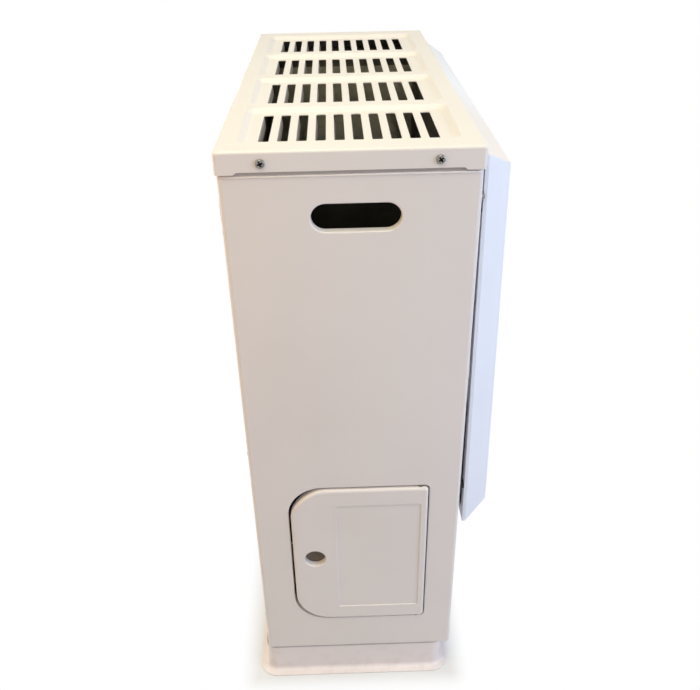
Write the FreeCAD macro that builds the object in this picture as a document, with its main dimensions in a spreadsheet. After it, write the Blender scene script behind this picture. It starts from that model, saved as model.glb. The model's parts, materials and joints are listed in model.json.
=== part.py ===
"""Floor-standing flued gas heater.

Millimetres. X runs along the width, with the access door on the -X side, the front faces -Y and Z is up.
The origin is on the floor, under the middle of the casing.
"""

import FreeCAD
import Part
import Sketcher
import math
import os
import re

Vector = FreeCAD.Vector

# Driving sizes, one cell of the sheet each.
SIZES = {
    # Casing
    "case_width": 652,          # over the two side panels
    "case_depth": 270,          # over the front and rear returns of the side panels
    "case_height": 755,         # from the plinth to the top of the cover
    "sheet": 1.0,               # casing sheet
    "seam_gap": 0.3,            # between neighbouring fixed sheets
    "side_return": 18,          # depth of the side panel trays
    "edge_radius": 5,           # upright edges of the side panels
    "rim_radius": 3,            # upper and lower edges of the side panels
    # Plinth
    "plinth_height": 55,
    "plinth_sheet": 1.5,
    "plinth_side_inset": 3,     # behind the side panels
    "plinth_front_inset": 11,   # behind the casing front
    "plinth_rear_reach": 4,     # past the casing rear
    "plinth_corner": 14,
    "plinth_flange": 34,        # ledge under the casing
    "lip_width": 12,
    "lip_radius": 6,
    # Top cover
    "cover_overhang": 2,
    "skirt_height": 24,
    "cover_edge_radius": 3,
    "cover_corner_ease": 1,     # upright corners over the upper edge
    "skirt_relief": 2.6,
    "skirt_relief_end": 15.5,     # skirt left full at each end
    "dish_margin": 31,          # from the skirt to the outer dishes
    "dish_end_margin": 21.5,    # from the skirt to the ends of the dishes
    "dish_bar": 19,             # between neighbouring dishes
    "dish_depth": 5,
    "dish_slope": 6,            # run of the sloping dish walls
    "dish_corner": 9,
    "dish_count": 4,
    "slot_margin": 16,        # from a dish's outline to the ends of its slots
    "slot_width": 11.2,
    "slot_corner": 3,
    "slot_pitch": 19.9,
    "slot_count": 10,
    "vane_depth": 11,
    "vane_sheet": 0.8,
    "vane_corner": 6,
    "vane_lean": 8,             # degrees
    "rail_leg": 20,
    # Handle slots
    "handle_length": 95,
    "handle_height": 31,
    "handle_offset": 5,         # towards the front
    "handle_drop": 49,          # middle below the side panel's top
    "handle_flange": 10,
    "handle_rim": 1.6,
    # Access door and its opening
    "opening_height": 250,
    "opening_front_margin": 40, # from the casing front
    "opening_rear_margin": 45,  # from the casing rear
    "opening_level": 62.5,      # above the plinth
    "opening_swept": 46,        # the two rear corners
    "opening_tight": 7,         # the two hinge corners
    "opening_flange": 10,
    "opening_rim": 1.6,
    "door_gap": 2.8,
    "hinge_gap": 1.5,
    "door_proud": 3,
    "door_depth": 12,
    "door_edge_radius": 4,
    "door_swept": 48,
    "door_tight": 5.5,
    "finger_hole": 28,
    "finger_flange": 9,
    "finger_rim": 1.8,
    "finger_from_rear": 29.5,
    "panel_recess": 1.4,
    "panel_rim": 0.6,           # rounded edge of the recess
    "panel_hinge_margin": 9,
    "panel_rear_margin": 60,
    "panel_low_margin": 25,
    "panel_high_margin": 27,
    "panel_corner": 3,
    "hinge_setback": 4,         # axis behind the side panel's face
    "hinge_from_edge": 10,      # axis from the door's hinge edge
    "pin_radius": 2,
    "pin_collar": 4,
    "pin_head": 2.9,
    "pin_reach": 3,
    "running_gap": 0.05,
    "magnet_height": 30,
    "magnet_thickness": 2.7,
    "catch_width": 36,
    # Raised front panel
    "front_inset": 16,          # from the side panels
    "front_drop": 14,           # upper edge below the top of the cover
    "front_height": 510,
    "front_edge": 4,            # straight part of the borders
    "front_depth": 30.5,          # at the upper edge of the face
    "face_lean": 0.5,          # degrees, face against the borders
    "front_side_slope": 20,
    "front_top_slope": 17,
    "front_low_slope": 20,
    "front_gap": 3.5,           # clear of the casing at its upper edge
    "front_lean": 0.55,         # degrees, out at the foot
    "front_rim": 14,
    "front_edge_radius": 2,
    "spacer_radius": 5.5,
    "spacer_inset": 8,
    "spacer_level": 60,         # from the upper and lower edges
    "window_width": 320,
    "window_height": 110,
    "window_level": 55,         # above the lower edge of the raised face
    "window_corner": 8,
    "bezel_width": 9,
    "bezel_thickness": 3,
    "glass_thickness": 4,
    "glass_margin": 12,
    "clip_length": 24,
    # Casing front and rear
    "radiant_margin": 30,       # round the sight window
    "grille_slot_length": 120,
    "grille_slot_height": 6,
    "grille_columns": 4,
    "grille_rows": 6,
    "grille_column_pitch": 140,
    "grille_row_pitch": 20,
    "grille_level": 60,
    "rear_slot_length": 100,
    "rear_columns": 4,
    "rear_rows": 5,
    "base_flange": 15,
    "intake_length": 60,
    "intake_width": 12,
    "intake_columns": 5,
    "intake_rows": 4,
    "intake_column_pitch": 75,
    "intake_row_pitch": 30,
    # Screws
    "screw_head": 4.75,
    "screw_crown": 3.3,         # radius at the top of the head
    "screw_head_height": 3,
    "rear_head_height": 1.2,    # low heads on the rear panel
    "screw_shank": 2.4,
    "screw_length": 9,
    "screw_hole": 2.5,
    "skirt_screw_drop": 12.5,   # below the top of the cover
    "skirt_screw_spread": 180,
    "return_screw_inset": 12.5,
    "front_screw_drop": 34,     # below the side panel's top
    "rear_screw_pitch": 300,
    # Firebox
    "shield_clear": 15,         # between the heat shield and the firebox
    "firebox_side_clear": 86,   # between the firebox and the right side panel
    "firebox_depth": 140,
    "hearth_clear": 13,         # firebox above the pilot pipe
    "firebox_drop": 66,         # below the side panel's top
    "firebox_wall": 1.5,
    "firebox_corner": 14,
    "hearth_offset": 10,        # middle of the firebox ahead of the casing's middle
    "leg_width": 20,
    "leg_ledge": 25,
    "leg_clear": 5,
    "baffle_drop": 100,         # below the flue
    "baffle_reach": 105,
    "baffle_lip": 18,
    "baffle_length": 340,
    "flue_radius": 50,
    "flue_wall": 1.2,
    "flue_drop": 80,            # below the firebox top
    "flue_reach": 44,           # past the casing rear
    "flue_flange": 68,
    "gasket_thickness": 1.5,
    "gasket_inset": 1,
    # Burner
    "burner_level": 65,         # axis above the firebox foot
    "burner_radius": 22,
    "burner_wall": 1.2,
    "burner_throat": 13,
    "burner_end_clear": 63,     # between the burner and the firebox's right wall
    "venturi_length": 60,
    "throat_length": 8,
    "mouth_clear": 3,           # mouth outside the firebox wall
    "mouth_gap": 2,             # round the burner in the firebox wall
    "port_radius": 1.6,
    "port_row": 4,              # the two rows of ports, each side of the top
    "port_margin": 11,
    "port_count": 28,
    "strap_width": 20,
    "strap_sheet": 2,
    "strap_tab": 14,
    "injector_radius": 6,
    "injector_tail": 6,         # before the heat shield
    "injector_step": 1,         # past the heat shield, before the tip
    "injector_tip": 4,
    "pilot_setback": 35,        # pilot ahead of the burner axis
    "pilot_from_wall": 90,      # pilot from the firebox's left wall
    "pilot_pitch": 15,
    "pilot_drop": 5,            # its plate below the burner axis
    "pilot_radius": 4,
    "pilot_tail": 6,            # jet below the plate
    "pilot_length": 34,
    "hood_level": 24,           # above the plate
    "hood_width": 12,
    "hood_front": 5,
    "hood_rear": 9,
    "hood_height": 5,
    "hood_corner": 2,
    "probe_radius": 2.5,
    "probe_tail": 18,           # below the plate
    "probe_rise": 34,           # above the plate
    "probe_tip": 4,
    "probe_collar": 4.5,
    "probe_collar_height": 5,
    "electrode_radius": 3.5,
    "electrode_tail": 16,
    "electrode_rise": 20,
    "electrode_collar": 5,
    "electrode_collar_height": 4,
    "spark_radius": 1,
    "spark_length": 14,
    # Controls
    "shield_place": 110,        # heat shield behind the left side panel
    "shield_height": 560,
    "shield_depth": 236,
    "right_shield_drop": 18,    # right heat shield below the side panel's top
    "bracket_depth": 48,
    "bracket_width": 130,
    "bracket_front": 74,        # ahead of the knob
    "bracket_level": 95,
    "bracket_height": 180,
    "bracket_foot": 15,
    "knob_level": 185,          # above the plinth
    "valve_length": 41,
    "valve_width": 44,
    "valve_rise": 35,           # body above and below the spindle
    "pilot_port_drop": 8,       # ports below the spindle
    "probe_port_drop": 26,
    "valve_corner": 6,
    "turret_radius": 11,
    "turret_length": 9,
    "spindle_radius": 4,
    "spindle_length": 48,
    "push_travel": 5,
    "push_pin_length": 15,
    "push_clear": 1,            # bore past the pushed pin
    "knob_clear": 1.5,          # between the pushed knob and the turret
    "knob_radius": 22,
    "knob_depth": 21,
    "knob_skirt": 7,
    "knob_hub": 13.2,
    "knob_hub_depth": 12.6,
    "knob_grip": 11,
    "knob_grip_inset": 1,
    "knob_crown": 4,            # over the end of the spindle
    "igniter_radius": 9,
    "igniter_collar": 12,
    "igniter_flange": 3,
    "igniter_nut": 4,
    "igniter_length": 38,
    "igniter_bore": 21,
    "terminal_radius": 3,
    "terminal_length": 6,
    "igniter_drop": 55,         # below the knob
    "igniter_front": 45,        # ahead of the knob
    "button_radius": 6,
    "button_length": 19,
    "button_travel": 6,
    "button_proud": 4,          # past the travel, from the bracket
    "button_chamfer": 1.5,
    "slide_gap": 0.3,
    # Gas line
    "inlet_radius": 10.48,
    "inlet_length": 12,
    "inlet_neck": 2,            # turned down behind the thread
    "inlet_relief": 1.2,
    "inlet_bore": 6,
    "inlet_hex": 15,
    "inlet_hex_height": 4,
    "inlet_tail": 14,           # inside the rear panel
    "inlet_level": 55,
    "supply_radius": 6,
    "supply_bend": 30,
    "burner_pipe_radius": 4,
    "burner_pipe_bend": 14,
    "pilot_pipe_radius": 2,
    "pilot_pipe_bend": 9,
    "lead_radius": 1.5,
    "boss_radius": 7,
    "inlet_boss": 10,
    "boss_length": 7,
}

doc = FreeCAD.newDocument("gas_heater")
sheet = doc.addObject("Spreadsheet::Sheet", "dims")
for row, (alias, size) in enumerate(SIZES.items(), start=1):
    sheet.set(f"A{row}", alias)
    sheet.set(f"B{row}", str(size))
    sheet.setAlias(f"B{row}", alias)
doc.recompute()

# Places worked out from the driving sizes, as expressions of the sheet.
left_face = "(-case_width / 2)"
front_face = "(-case_depth / 2)"
rear_face = "(case_depth / 2)"
floor_level = "plinth_height"
cover_top = "(plinth_height + case_height)"
panel_top = "(plinth_height + case_height - skirt_height)"
skirt_outer = "(case_width / 2 + cover_overhang)"
skirt_face = "(case_depth / 2 + cover_overhang)"
rail_face = f"({skirt_outer} - sheet - seam_gap)"
dish_length = f"((2 * {skirt_outer} - 2 * dish_margin - (dish_count - 1) * dish_bar) / dish_count)"
dish_width = f"(2 * {skirt_face} - 2 * dish_end_margin)"
dish_pitch = f"({dish_length} + dish_bar)"
slot_length = f"({dish_length} - 2 * slot_margin)"
skirt_screw_level = f"({cover_top} - skirt_screw_drop)"
opening_front = f"({front_face} + opening_front_margin)"
opening_rear = f"({rear_face} - opening_rear_margin)"
opening_low = f"({floor_level} + opening_level)"
opening_high = f"({opening_low} + opening_height)"
door_front = f"({opening_front} + hinge_gap)"
door_rear = f"({opening_rear} - door_gap)"
door_low = f"({opening_low} + door_gap)"
door_high = f"({opening_high} - door_gap)"
door_middle = f"(({door_low} + {door_high}) / 2)"
door_face = f"({left_face} - door_proud)"
door_back = f"({door_face} + door_depth)"
hinge_x = f"({left_face} + hinge_setback)"
hinge_y = f"({door_front} + hinge_from_edge)"
front_plate = f"({front_face} + sheet)"
rear_plate = f"({rear_face} - 2 * sheet)"
plate_half = "(case_width / 2 - edge_radius - seam_gap)"
plate_low = f"({floor_level} + rim_radius)"
plate_high = f"({panel_top} - rim_radius)"
front_root = f"({front_face} - front_gap)"
front_top = f"({cover_top} - front_drop)"
front_half = "(case_width / 2 - front_inset)"
front_low_depth = "(front_depth + (front_height - front_top_slope - front_low_slope) * tan(face_lean))"
window_drop = "(front_height - front_low_slope - window_level - window_height / 2)"
window_depth = f"(front_depth + ({window_drop} - front_top_slope) * tan(face_lean))"
window_y = f"({front_root} - {window_depth} * cos(front_lean) - {window_drop} * sin(front_lean))"
window_z = f"({front_top} + {window_depth} * sin(front_lean) - {window_drop} * cos(front_lean))"
hearth_y = "(-hearth_offset)"
firebox_front = f"({hearth_y} - firebox_depth / 2)"
firebox_rear = f"({hearth_y} + firebox_depth / 2)"
shield_x = f"({left_face} + shield_place)"
firebox_left = f"({shield_x} + sheet + shield_clear)"
firebox_right = "(case_width / 2 - firebox_side_clear)"
bracket_x = f"({shield_x} - bracket_depth)"
knob_z = f"({floor_level} + knob_level)"
valve_low = f"({knob_z} - valve_rise)"
valve_high = f"({knob_z} + valve_rise)"
pilot_run = f"({knob_z} - pilot_port_drop)"
probe_run = f"({knob_z} - probe_port_drop)"
firebox_low = f"({pilot_run} + hearth_clear)"
firebox_high = f"({panel_top} - firebox_drop)"
burner_z = f"({firebox_low} + burner_level)"
burner_mouth = f"({firebox_left} - mouth_clear)"
burner_length = f"({firebox_right} - burner_end_clear - {burner_mouth})"
port_pitch = f"(({burner_length} - venturi_length - 2 * port_margin) / (port_count - 1))"
pilot_x = f"({firebox_left} + pilot_from_wall)"
probe_x = f"({pilot_x} + pilot_pitch)"
spark_x = f"({pilot_x} - pilot_pitch)"
pilot_plate = f"({burner_z} - pilot_drop)"
valve_x = f"({bracket_x} + sheet)"
valve_middle = f"({valve_x} + valve_length / 2)"
turret_end = f"({bracket_x} - turret_length)"
knob_back = f"({turret_end} - push_travel - knob_clear)"
knob_face = f"({knob_back} - knob_depth)"
spindle_outer = f"({knob_face} + knob_crown)"
spindle_inner = f"({spindle_outer} + spindle_length)"
igniter_y = f"({hearth_y} - igniter_front)"
igniter_z = f"({knob_z} - igniter_drop)"
pilot_y = f"({hearth_y} - pilot_setback)"
base_top = f"({floor_level} + sheet)"
flue_z = f"({firebox_high} - flue_drop)"
baffle_z = f"({flue_z} - baffle_drop)"
return_x = "(case_width / 2 - return_screw_inset)"
front_screw_z = f"({panel_top} - front_screw_drop)"
rear_screw_middle = f"(({floor_level} + {panel_top}) / 2)"
magnet_face = f"({door_back} + slide_gap)"
catch_wall = f"({opening_rear} + 2 * sheet + seam_gap)"
inlet_z = f"({floor_level} + inlet_level)"
grille_z = f"({floor_level} + grille_level)"
radiant_half = "(window_width / 2 + radiant_margin)"
radiant_low = f"({window_z} - window_height / 2 - radiant_margin)"
radiant_high = f"({window_z} + window_height / 2 + radiant_margin)"


def cells(expression):
    """The expression with each size name pointed at its cell."""
    def pointed(word):
        return "dims." + word.group(0) if word.group(0) in SIZES else word.group(0)
    return re.sub(r"[A-Za-z_]\w*", pointed, str(expression))


def value(expression):
    """What the expression comes to, in millimetres or degrees."""
    return float(sheet.evalExpression(cells(expression)))


def bind(thing, **sizes):
    for name, expression in sizes.items():
        thing.setExpression(name, cells(expression))


def new_body(label):
    body = doc.addObject("PartDesign::Body", label)
    body.Label = label
    return body


def new_sketch(body, plane, offset="0"):
    """A sketch on one of the body's origin planes, moved along that plane's normal."""
    sketch = body.newObject("Sketcher::SketchObject", body.Label + "_sketch")
    support = next(f for f in body.Origin.OriginFeatures if f.Role == plane)
    sketch.AttachmentSupport = (support, [""])
    sketch.MapMode = "FlatFace"
    sketch.setExpression("AttachmentOffset.Base.z", cells(offset))
    return sketch


def on_level(body, z):
    return new_sketch(body, "XY_Plane", z)


def facing_side(body, x):
    """Drawn in Y and Z."""
    return new_sketch(body, "YZ_Plane", x)


def facing_front(body, y):
    """Drawn in X and Z. This plane's normal points to -Y."""
    return new_sketch(body, "XZ_Plane", f"-1 * ({y})")


def constrain(sketch, kind, *where):
    """A constraint whose last argument, if it is text, is an expression of the sheet."""
    if isinstance(where[-1], str):
        number = sketch.addConstraint(Sketcher.Constraint(kind, *where[:-1], value(where[-1])))
        sketch.setExpression(f"Constraints[{number}]", cells(where[-1]))
    else:
        sketch.addConstraint(Sketcher.Constraint(kind, *where))


def polygon(sketch, corners):
    points = [Vector(value(x), value(y), 0) for x, y in corners]
    first = sketch.GeometryCount
    count = len(corners)
    for i in range(count):
        sketch.addGeometry(Part.LineSegment(points[i], points[(i + 1) % count]))
    for i, (x, y) in enumerate(corners):
        constrain(sketch, "Coincident", first + i, 2, first + (i + 1) % count, 1)
        constrain(sketch, "DistanceX", -1, 1, first + i, 1, x)
        constrain(sketch, "DistanceY", -1, 1, first + i, 1, y)


def rectangle(sketch, left, right, low, high):
    polygon(sketch, [(left, low), (right, low), (right, high), (left, high)])


def rounded(sketch, left, right, low, high, *radii):
    """A rectangle with arcs at its corners, from lower left anticlockwise."""
    radii = radii * 4 if len(radii) == 1 else radii
    x = [value(left), value(right)]
    y = [value(low), value(high)]
    r = [value(radius) for radius in radii]
    centres = [
        Vector(x[0] + r[0], y[0] + r[0], 0),
        Vector(x[1] - r[1], y[0] + r[1], 0),
        Vector(x[1] - r[2], y[1] - r[2], 0),
        Vector(x[0] + r[3], y[1] - r[3], 0),
    ]
    first = sketch.GeometryCount
    for i, centre in enumerate(centres):
        start = math.pi + i * math.pi / 2
        round_edge = Part.Circle(centre, Vector(0, 0, 1), r[i])
        sketch.addGeometry(Part.ArcOfCircle(round_edge, start, start + math.pi / 2))
    for i in range(4):
        ahead = (i + 1) % 4
        start = sketch.getPoint(first + i, 2)
        end = sketch.getPoint(first + ahead, 1)
        sketch.addGeometry(Part.LineSegment(start, end))
    for i in range(4):
        ahead = (i + 1) % 4
        constrain(sketch, "Tangent", first + i, 2, first + 4 + i, 1)
        constrain(sketch, "Tangent", first + 4 + i, 2, first + ahead, 1)
        constrain(sketch, "Vertical" if i % 2 else "Horizontal", first + 4 + i)
        constrain(sketch, "Radius", first + i, radii[i])
    constrain(sketch, "DistanceY", -1, 1, first + 4, 1, low)
    constrain(sketch, "DistanceX", -1, 1, first + 5, 1, right)
    constrain(sketch, "DistanceY", -1, 1, first + 6, 1, high)
    constrain(sketch, "DistanceX", -1, 1, first + 7, 1, left)


def circle(sketch, x, y, radius):
    ring = Part.Circle(Vector(value(x), value(y), 0), Vector(0, 0, 1), value(radius))
    number = sketch.addGeometry(ring)
    constrain(sketch, "Radius", number, radius)
    constrain(sketch, "DistanceX", -1, 1, number, 3, x)
    constrain(sketch, "DistanceY", -1, 1, number, 3, y)


def stadium(sketch, left, right, low, high):
    """A slot with half-round ends."""
    radius = f"(({high}) - ({low})) / 2"
    middle = f"(({high}) + ({low})) / 2"
    r = value(radius)
    y = value(middle)
    near = Vector(value(left) + r, y, 0)
    far = Vector(value(right) - r, y, 0)
    up = Vector(0, r, 0)
    first = sketch.GeometryCount
    sketch.addGeometry(Part.ArcOfCircle(Part.Circle(near, Vector(0, 0, 1), r), math.pi / 2, 3 * math.pi / 2))
    sketch.addGeometry(Part.LineSegment(near - up, far - up))
    sketch.addGeometry(Part.ArcOfCircle(Part.Circle(far, Vector(0, 0, 1), r), -math.pi / 2, math.pi / 2))
    sketch.addGeometry(Part.LineSegment(far + up, near + up))
    for i in range(4):
        constrain(sketch, "Tangent", first + i, 2, first + (i + 1) % 4, 1)
    constrain(sketch, "Horizontal", first + 1)
    constrain(sketch, "Radius", first, radius)
    constrain(sketch, "DistanceY", -1, 1, first, 3, middle)
    constrain(sketch, "DistanceX", -1, 1, first, 3, f"({left}) + {radius}")
    constrain(sketch, "DistanceX", -1, 1, first + 2, 3, f"({right}) - {radius}")


def extrude(kind, body, sketch, length, back=False):
    feature = body.newObject(f"PartDesign::{kind}", f"{body.Label}_{kind.lower()}")
    feature.Profile = sketch
    feature.Reversed = back
    bind(feature, Length=length)
    sketch.Visibility = False
    return feature


def pad(body, sketch, length, back=False):
    return extrude("Pad", body, sketch, length, back)


def pocket(body, sketch, length, back=False):
    """Cuts against the sketch's normal, or along it when back is set."""
    return extrude("Pocket", body, sketch, length, back)


def through(body, sketch):
    """Cuts right through the body, both ways from the sketch."""
    feature = body.newObject("PartDesign::Pocket", body.Label + "_cut")
    feature.Profile = sketch
    feature.SideType = "Two sides"
    feature.Type = "Length"
    bind(feature, Length="2 * case_height", Length2="2 * case_height")
    return feature


def revolve(body, sketch, axis):
    feature = body.newObject("PartDesign::Revolution", body.Label + "_turned")
    feature.Profile = sketch
    feature.ReferenceAxis = (sketch, [axis])
    feature.Angle = 360
    return feature


def lies(thing, **places):
    """Whether an edge or face lies wholly at the given places."""
    box = thing.BoundBox
    for axis, place in places.items():
        low = getattr(box, axis.upper() + "Min")
        high = getattr(box, axis.upper() + "Max")
        if abs(low - place) > 1e-4 or abs(high - place) > 1e-4:
            return False
    return True


def within(thing, axis, low, high):
    box = thing.BoundBox
    slack = 1e-3
    low_end = getattr(box, axis.upper() + "Min")
    high_end = getattr(box, axis.upper() + "Max")
    return low_end > low - slack and high_end < high + slack


def fillet(body, radius, wanted):
    """Rounds those edges of the body so far that the test wants."""
    doc.recompute()
    base = body.Tip
    names = [f"Edge{i}" for i, edge in enumerate(base.Shape.Edges, start=1) if wanted(edge)]
    feature = body.newObject("PartDesign::Fillet", body.Label + "_fillet")
    feature.Base = (base, names)
    bind(feature, Radius=radius)
    return feature


def hollow(body, thickness, open_face):
    """Shells the body inwards, open at the faces that the test wants."""
    doc.recompute()
    base = body.Tip
    names = [f"Face{i}" for i, face in enumerate(base.Shape.Faces, start=1) if open_face(face)]
    feature = body.newObject("PartDesign::Thickness", body.Label + "_shell")
    feature.Base = (base, names)
    feature.Reversed = True
    bind(feature, Value=thickness)
    return feature


def repeat(body, features, **ways):
    """Patterns features along X, Y or Z: axis letter to (pitch, count)."""
    pattern = body.newObject("PartDesign::LinearPattern", body.Label + "_pattern")
    pattern.Originals = features
    for suffix, (axis, (pitch, count)) in zip(("", "2"), ways.items()):
        line = next(f for f in body.Origin.OriginFeatures if f.Role == axis + "_Axis")
        setattr(pattern, "Direction" + suffix, (line, [""]))
        setattr(pattern, "Mode" + suffix, "Spacing")
        times = round(value(count))
        setattr(pattern, "Occurrences" + suffix, times)
        setattr(pattern, "Spacings" + suffix, [-1.0] * (times - 1))
        bind(pattern, **{"Offset" + suffix: pitch, "Occurrences" + suffix: count})
    body.Tip = pattern
    return pattern


def place(thing, x, y, z):
    bind(thing, **{"Placement.Base.x": x, "Placement.Base.y": y, "Placement.Base.z": z})


def turned_to(axis):
    """The turn that points a solid's own Z along a row axis."""
    ways = {
        "+X": (0, 90, 0), "-X": (0, -90, 0),
        "+Y": (0, 0, -90), "-Y": (0, 0, 90),
        "+Z": (0, 0, 0), "-Z": (0, 0, 180),
    }
    return FreeCAD.Rotation(*ways[axis])


def cylinder(label, radius, length, x, y, z, axis="+Z"):
    solid = doc.addObject("Part::Cylinder", label)
    solid.Placement = FreeCAD.Placement(Vector(), turned_to(axis))
    bind(solid, Radius=radius, Height=length)
    place(solid, x, y, z)
    return solid


def cone(label, radius, end_radius, length, x, y, z, axis="+Z"):
    solid = doc.addObject("Part::Cone", label)
    solid.Placement = FreeCAD.Placement(Vector(), turned_to(axis))
    bind(solid, Radius1=radius, Radius2=end_radius, Height=length)
    place(solid, x, y, z)
    return solid


def block(label, x, y, z):
    """A box from pairs of low and high ends."""
    solid = doc.addObject("Part::Box", label)
    bind(solid, Length=f"({x[1]}) - ({x[0]})", Width=f"({y[1]}) - ({y[0]})", Height=f"({z[1]}) - ({z[0]})")
    place(solid, x[0], y[0], z[0])
    return solid


def fuse(label, *solids):
    joined = doc.addObject("Part::MultiFuse", label)
    joined.Label = label
    joined.Shapes = list(solids)
    return joined


def group(label, solids):
    """One node of several separate solids."""
    several = doc.addObject("Part::Compound", label)
    several.Label = label
    several.Links = list(solids)
    return several


def route(label, points, radius, bend):
    """A round pipe or lead along straight runs joined by tangent arcs."""
    corners = [Vector(*(value(part) for part in point)) for point in points]
    edges = []
    start = corners[0]
    for before, corner, after in zip(corners, corners[1:], corners[2:]):
        back = (before - corner).normalize()
        ahead = (after - corner).normalize()
        half = (math.pi - back.getAngle(ahead)) / 2
        cut = bend * math.tan(half)
        first = corner + back * cut
        last = corner + ahead * cut
        bisector = (back + ahead).normalize()
        middle = corner + bisector * (bend / math.cos(half) - bend)
        edges.append(Part.LineSegment(start, first).toShape())
        edges.append(Part.Arc(first, middle, last).toShape())
        start = last
    edges.append(Part.LineSegment(start, corners[-1]).toShape())
    path = Part.Wire(edges)
    section = Part.Wire(Part.makeCircle(radius, corners[0], corners[1] - corners[0]))
    tube = doc.addObject("Part::Feature", label)
    tube.Label = label
    tube.Shape = path.makePipeShell([section], True, False)
    return tube


nodes = []


def keep(thing):
    nodes.append(thing)
    return thing


def make_plinth():
    body = new_body("plinth")
    half = "(case_width / 2 - plinth_side_inset)"
    front = f"({front_face} + plinth_front_inset)"
    rear = f"({rear_face} + plinth_rear_reach)"

    def outline(level, grow, corner):
        sketch = on_level(body, level)
        edge = f"({half} + ({grow}))"
        rounded(sketch, f"-1 * {edge}", edge, f"{front} - ({grow})", f"{rear} + ({grow})", corner)
        return sketch

    pad(body, outline("0", "0", "plinth_corner"), "plinth_height")
    pad(body, outline("0", "lip_width", "plinth_corner + lip_width"), "plinth_sheet")
    reach = value(half)

    def at_wall(edge, level):
        """Whether the edge runs round the foot of the wall."""
        return (lies(edge, z=level) and within(edge, "x", -reach, reach)
                and within(edge, "y", value(front), value(rear)))

    fillet(body, "lip_radius", lambda e: at_wall(e, value("plinth_sheet")))
    pocket(body, outline("0", "-plinth_sheet", "plinth_corner - plinth_sheet"),
           "plinth_height - plinth_sheet", back=True)
    fillet(body, "lip_radius + plinth_sheet", lambda e: at_wall(e, 0))
    ledge = f"({half} - plinth_flange)"
    well = on_level(body, "plinth_height")
    rounded(well, f"-1 * {ledge}", ledge, f"{front} + plinth_flange", f"{rear} - plinth_flange",
            "plinth_corner")
    pocket(body, well, "2 * plinth_sheet")
    return body


def make_base_plate():
    body = new_body("base_plate")
    half = "(case_width / 2 - side_return - seam_gap)"
    front = f"({front_plate} + sheet)"
    plate = on_level(body, floor_level)
    rectangle(plate, f"-1 * {half}", half, front, rear_plate)
    pad(body, plate, "sheet")
    flanges = on_level(body, floor_level)
    rectangle(flanges, f"-1 * {half}", half, front, f"{front} + sheet")
    rectangle(flanges, f"-1 * {half}", half, f"{rear_plate} - sheet", rear_plate)
    pad(body, flanges, "base_flange")
    slot = on_level(body, base_top)
    x = "(-intake_column_pitch * (intake_columns - 1) / 2)"
    y = f"({hearth_y} - intake_row_pitch * (intake_rows - 1) / 2)"
    stadium(slot, f"{x} - intake_length / 2", f"{x} + intake_length / 2",
            f"{y} - intake_width / 2", f"{y} + intake_width / 2")
    cut = pocket(body, slot, "2 * sheet")
    repeat(body, [cut], X=("intake_column_pitch", "intake_columns"), Y=("intake_row_pitch", "intake_rows"))
    return body


def make_side_panel(label, side):
    """A drawn tray: outer face, returns at front and rear, rims above and below. Side is -1 or 1."""
    body = new_body(label)
    face = f"({side} * case_width / 2)"
    inner = f"({face} - {side} * side_return)"
    inwards = side > 0
    tray = on_level(body, floor_level)
    ends = [face, inner] if side < 0 else [inner, face]
    rectangle(tray, ends[0], ends[1], front_face, rear_face)
    pad(body, tray, f"{panel_top} - {floor_level}")
    face_x = value(face)
    inner_x = value(inner)
    half = value(rear_face)
    fillet(body, "edge_radius", lambda e: lies(e, x=face_x, y=half) or lies(e, x=face_x, y=-half))

    def rim(edge):
        level = lies(edge, z=value(panel_top)) or lies(edge, z=value(floor_level))
        return level and not lies(edge, x=inner_x)

    fillet(body, "rim_radius", rim)
    hollow(body, "sheet", lambda f: lies(f, x=inner_x))

    def flanged_cut(draw, flange, rim_size, low, high):
        """An opening with its edge drawn inwards."""
        ring = facing_side(body, face)
        draw(ring, "sheet")
        pad(body, ring, flange, back=inwards)
        hole = facing_side(body, face)
        draw(hole, "0")
        pocket(body, hole, f"2 * {flange}", back=not inwards)
        fillet(body, rim_size, lambda e: lies(e, x=face_x) and within(e, "z", value(low), value(high)))

    handle_y = "(-handle_offset)"
    handle_z = f"({panel_top} - handle_drop)"

    def handle(sketch, grow):
        stadium(sketch, f"{handle_y} - handle_length / 2 - {grow}", f"{handle_y} + handle_length / 2 + {grow}",
                f"{handle_z} - handle_height / 2 - {grow}", f"{handle_z} + handle_height / 2 + {grow}")

    flanged_cut(handle, "handle_flange", "handle_rim", f"{handle_z} - handle_height",
                f"{handle_z} + handle_height")
    if side < 0:
        def doorway(sketch, grow):
            tight = f"opening_tight + {grow}"
            swept = f"opening_swept + {grow}"
            rounded(sketch, f"{opening_front} - {grow}", f"{opening_rear} + {grow}",
                    f"{opening_low} - {grow}", f"{opening_high} + {grow}", tight, swept, swept, tight)

        flanged_cut(doorway, "opening_flange", "opening_rim", opening_low, opening_high)
        pin_holes = on_level(body, f"({opening_low} + {opening_high}) / 2")
        circle(pin_holes, hinge_x, hinge_y, "pin_radius + running_gap")
        cut = body.newObject("PartDesign::Pocket", label + "_pin_holes")
        cut.Profile = pin_holes
        cut.SideType = "Symmetric"
        bind(cut, Length="opening_height + 4 * sheet")

    screw_x = f"({side} * {return_x})"
    front_hole = facing_front(body, front_face)
    circle(front_hole, screw_x, front_screw_z, "screw_hole")
    pocket(body, front_hole, "2 * sheet")
    rear_holes = facing_front(body, rear_face)
    for step in (-1, 0, 1):
        circle(rear_holes, screw_x, f"{rear_screw_middle} + {step} * rear_screw_pitch", "screw_hole")
    pocket(body, rear_holes, "2 * sheet", back=True)
    return body


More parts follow.
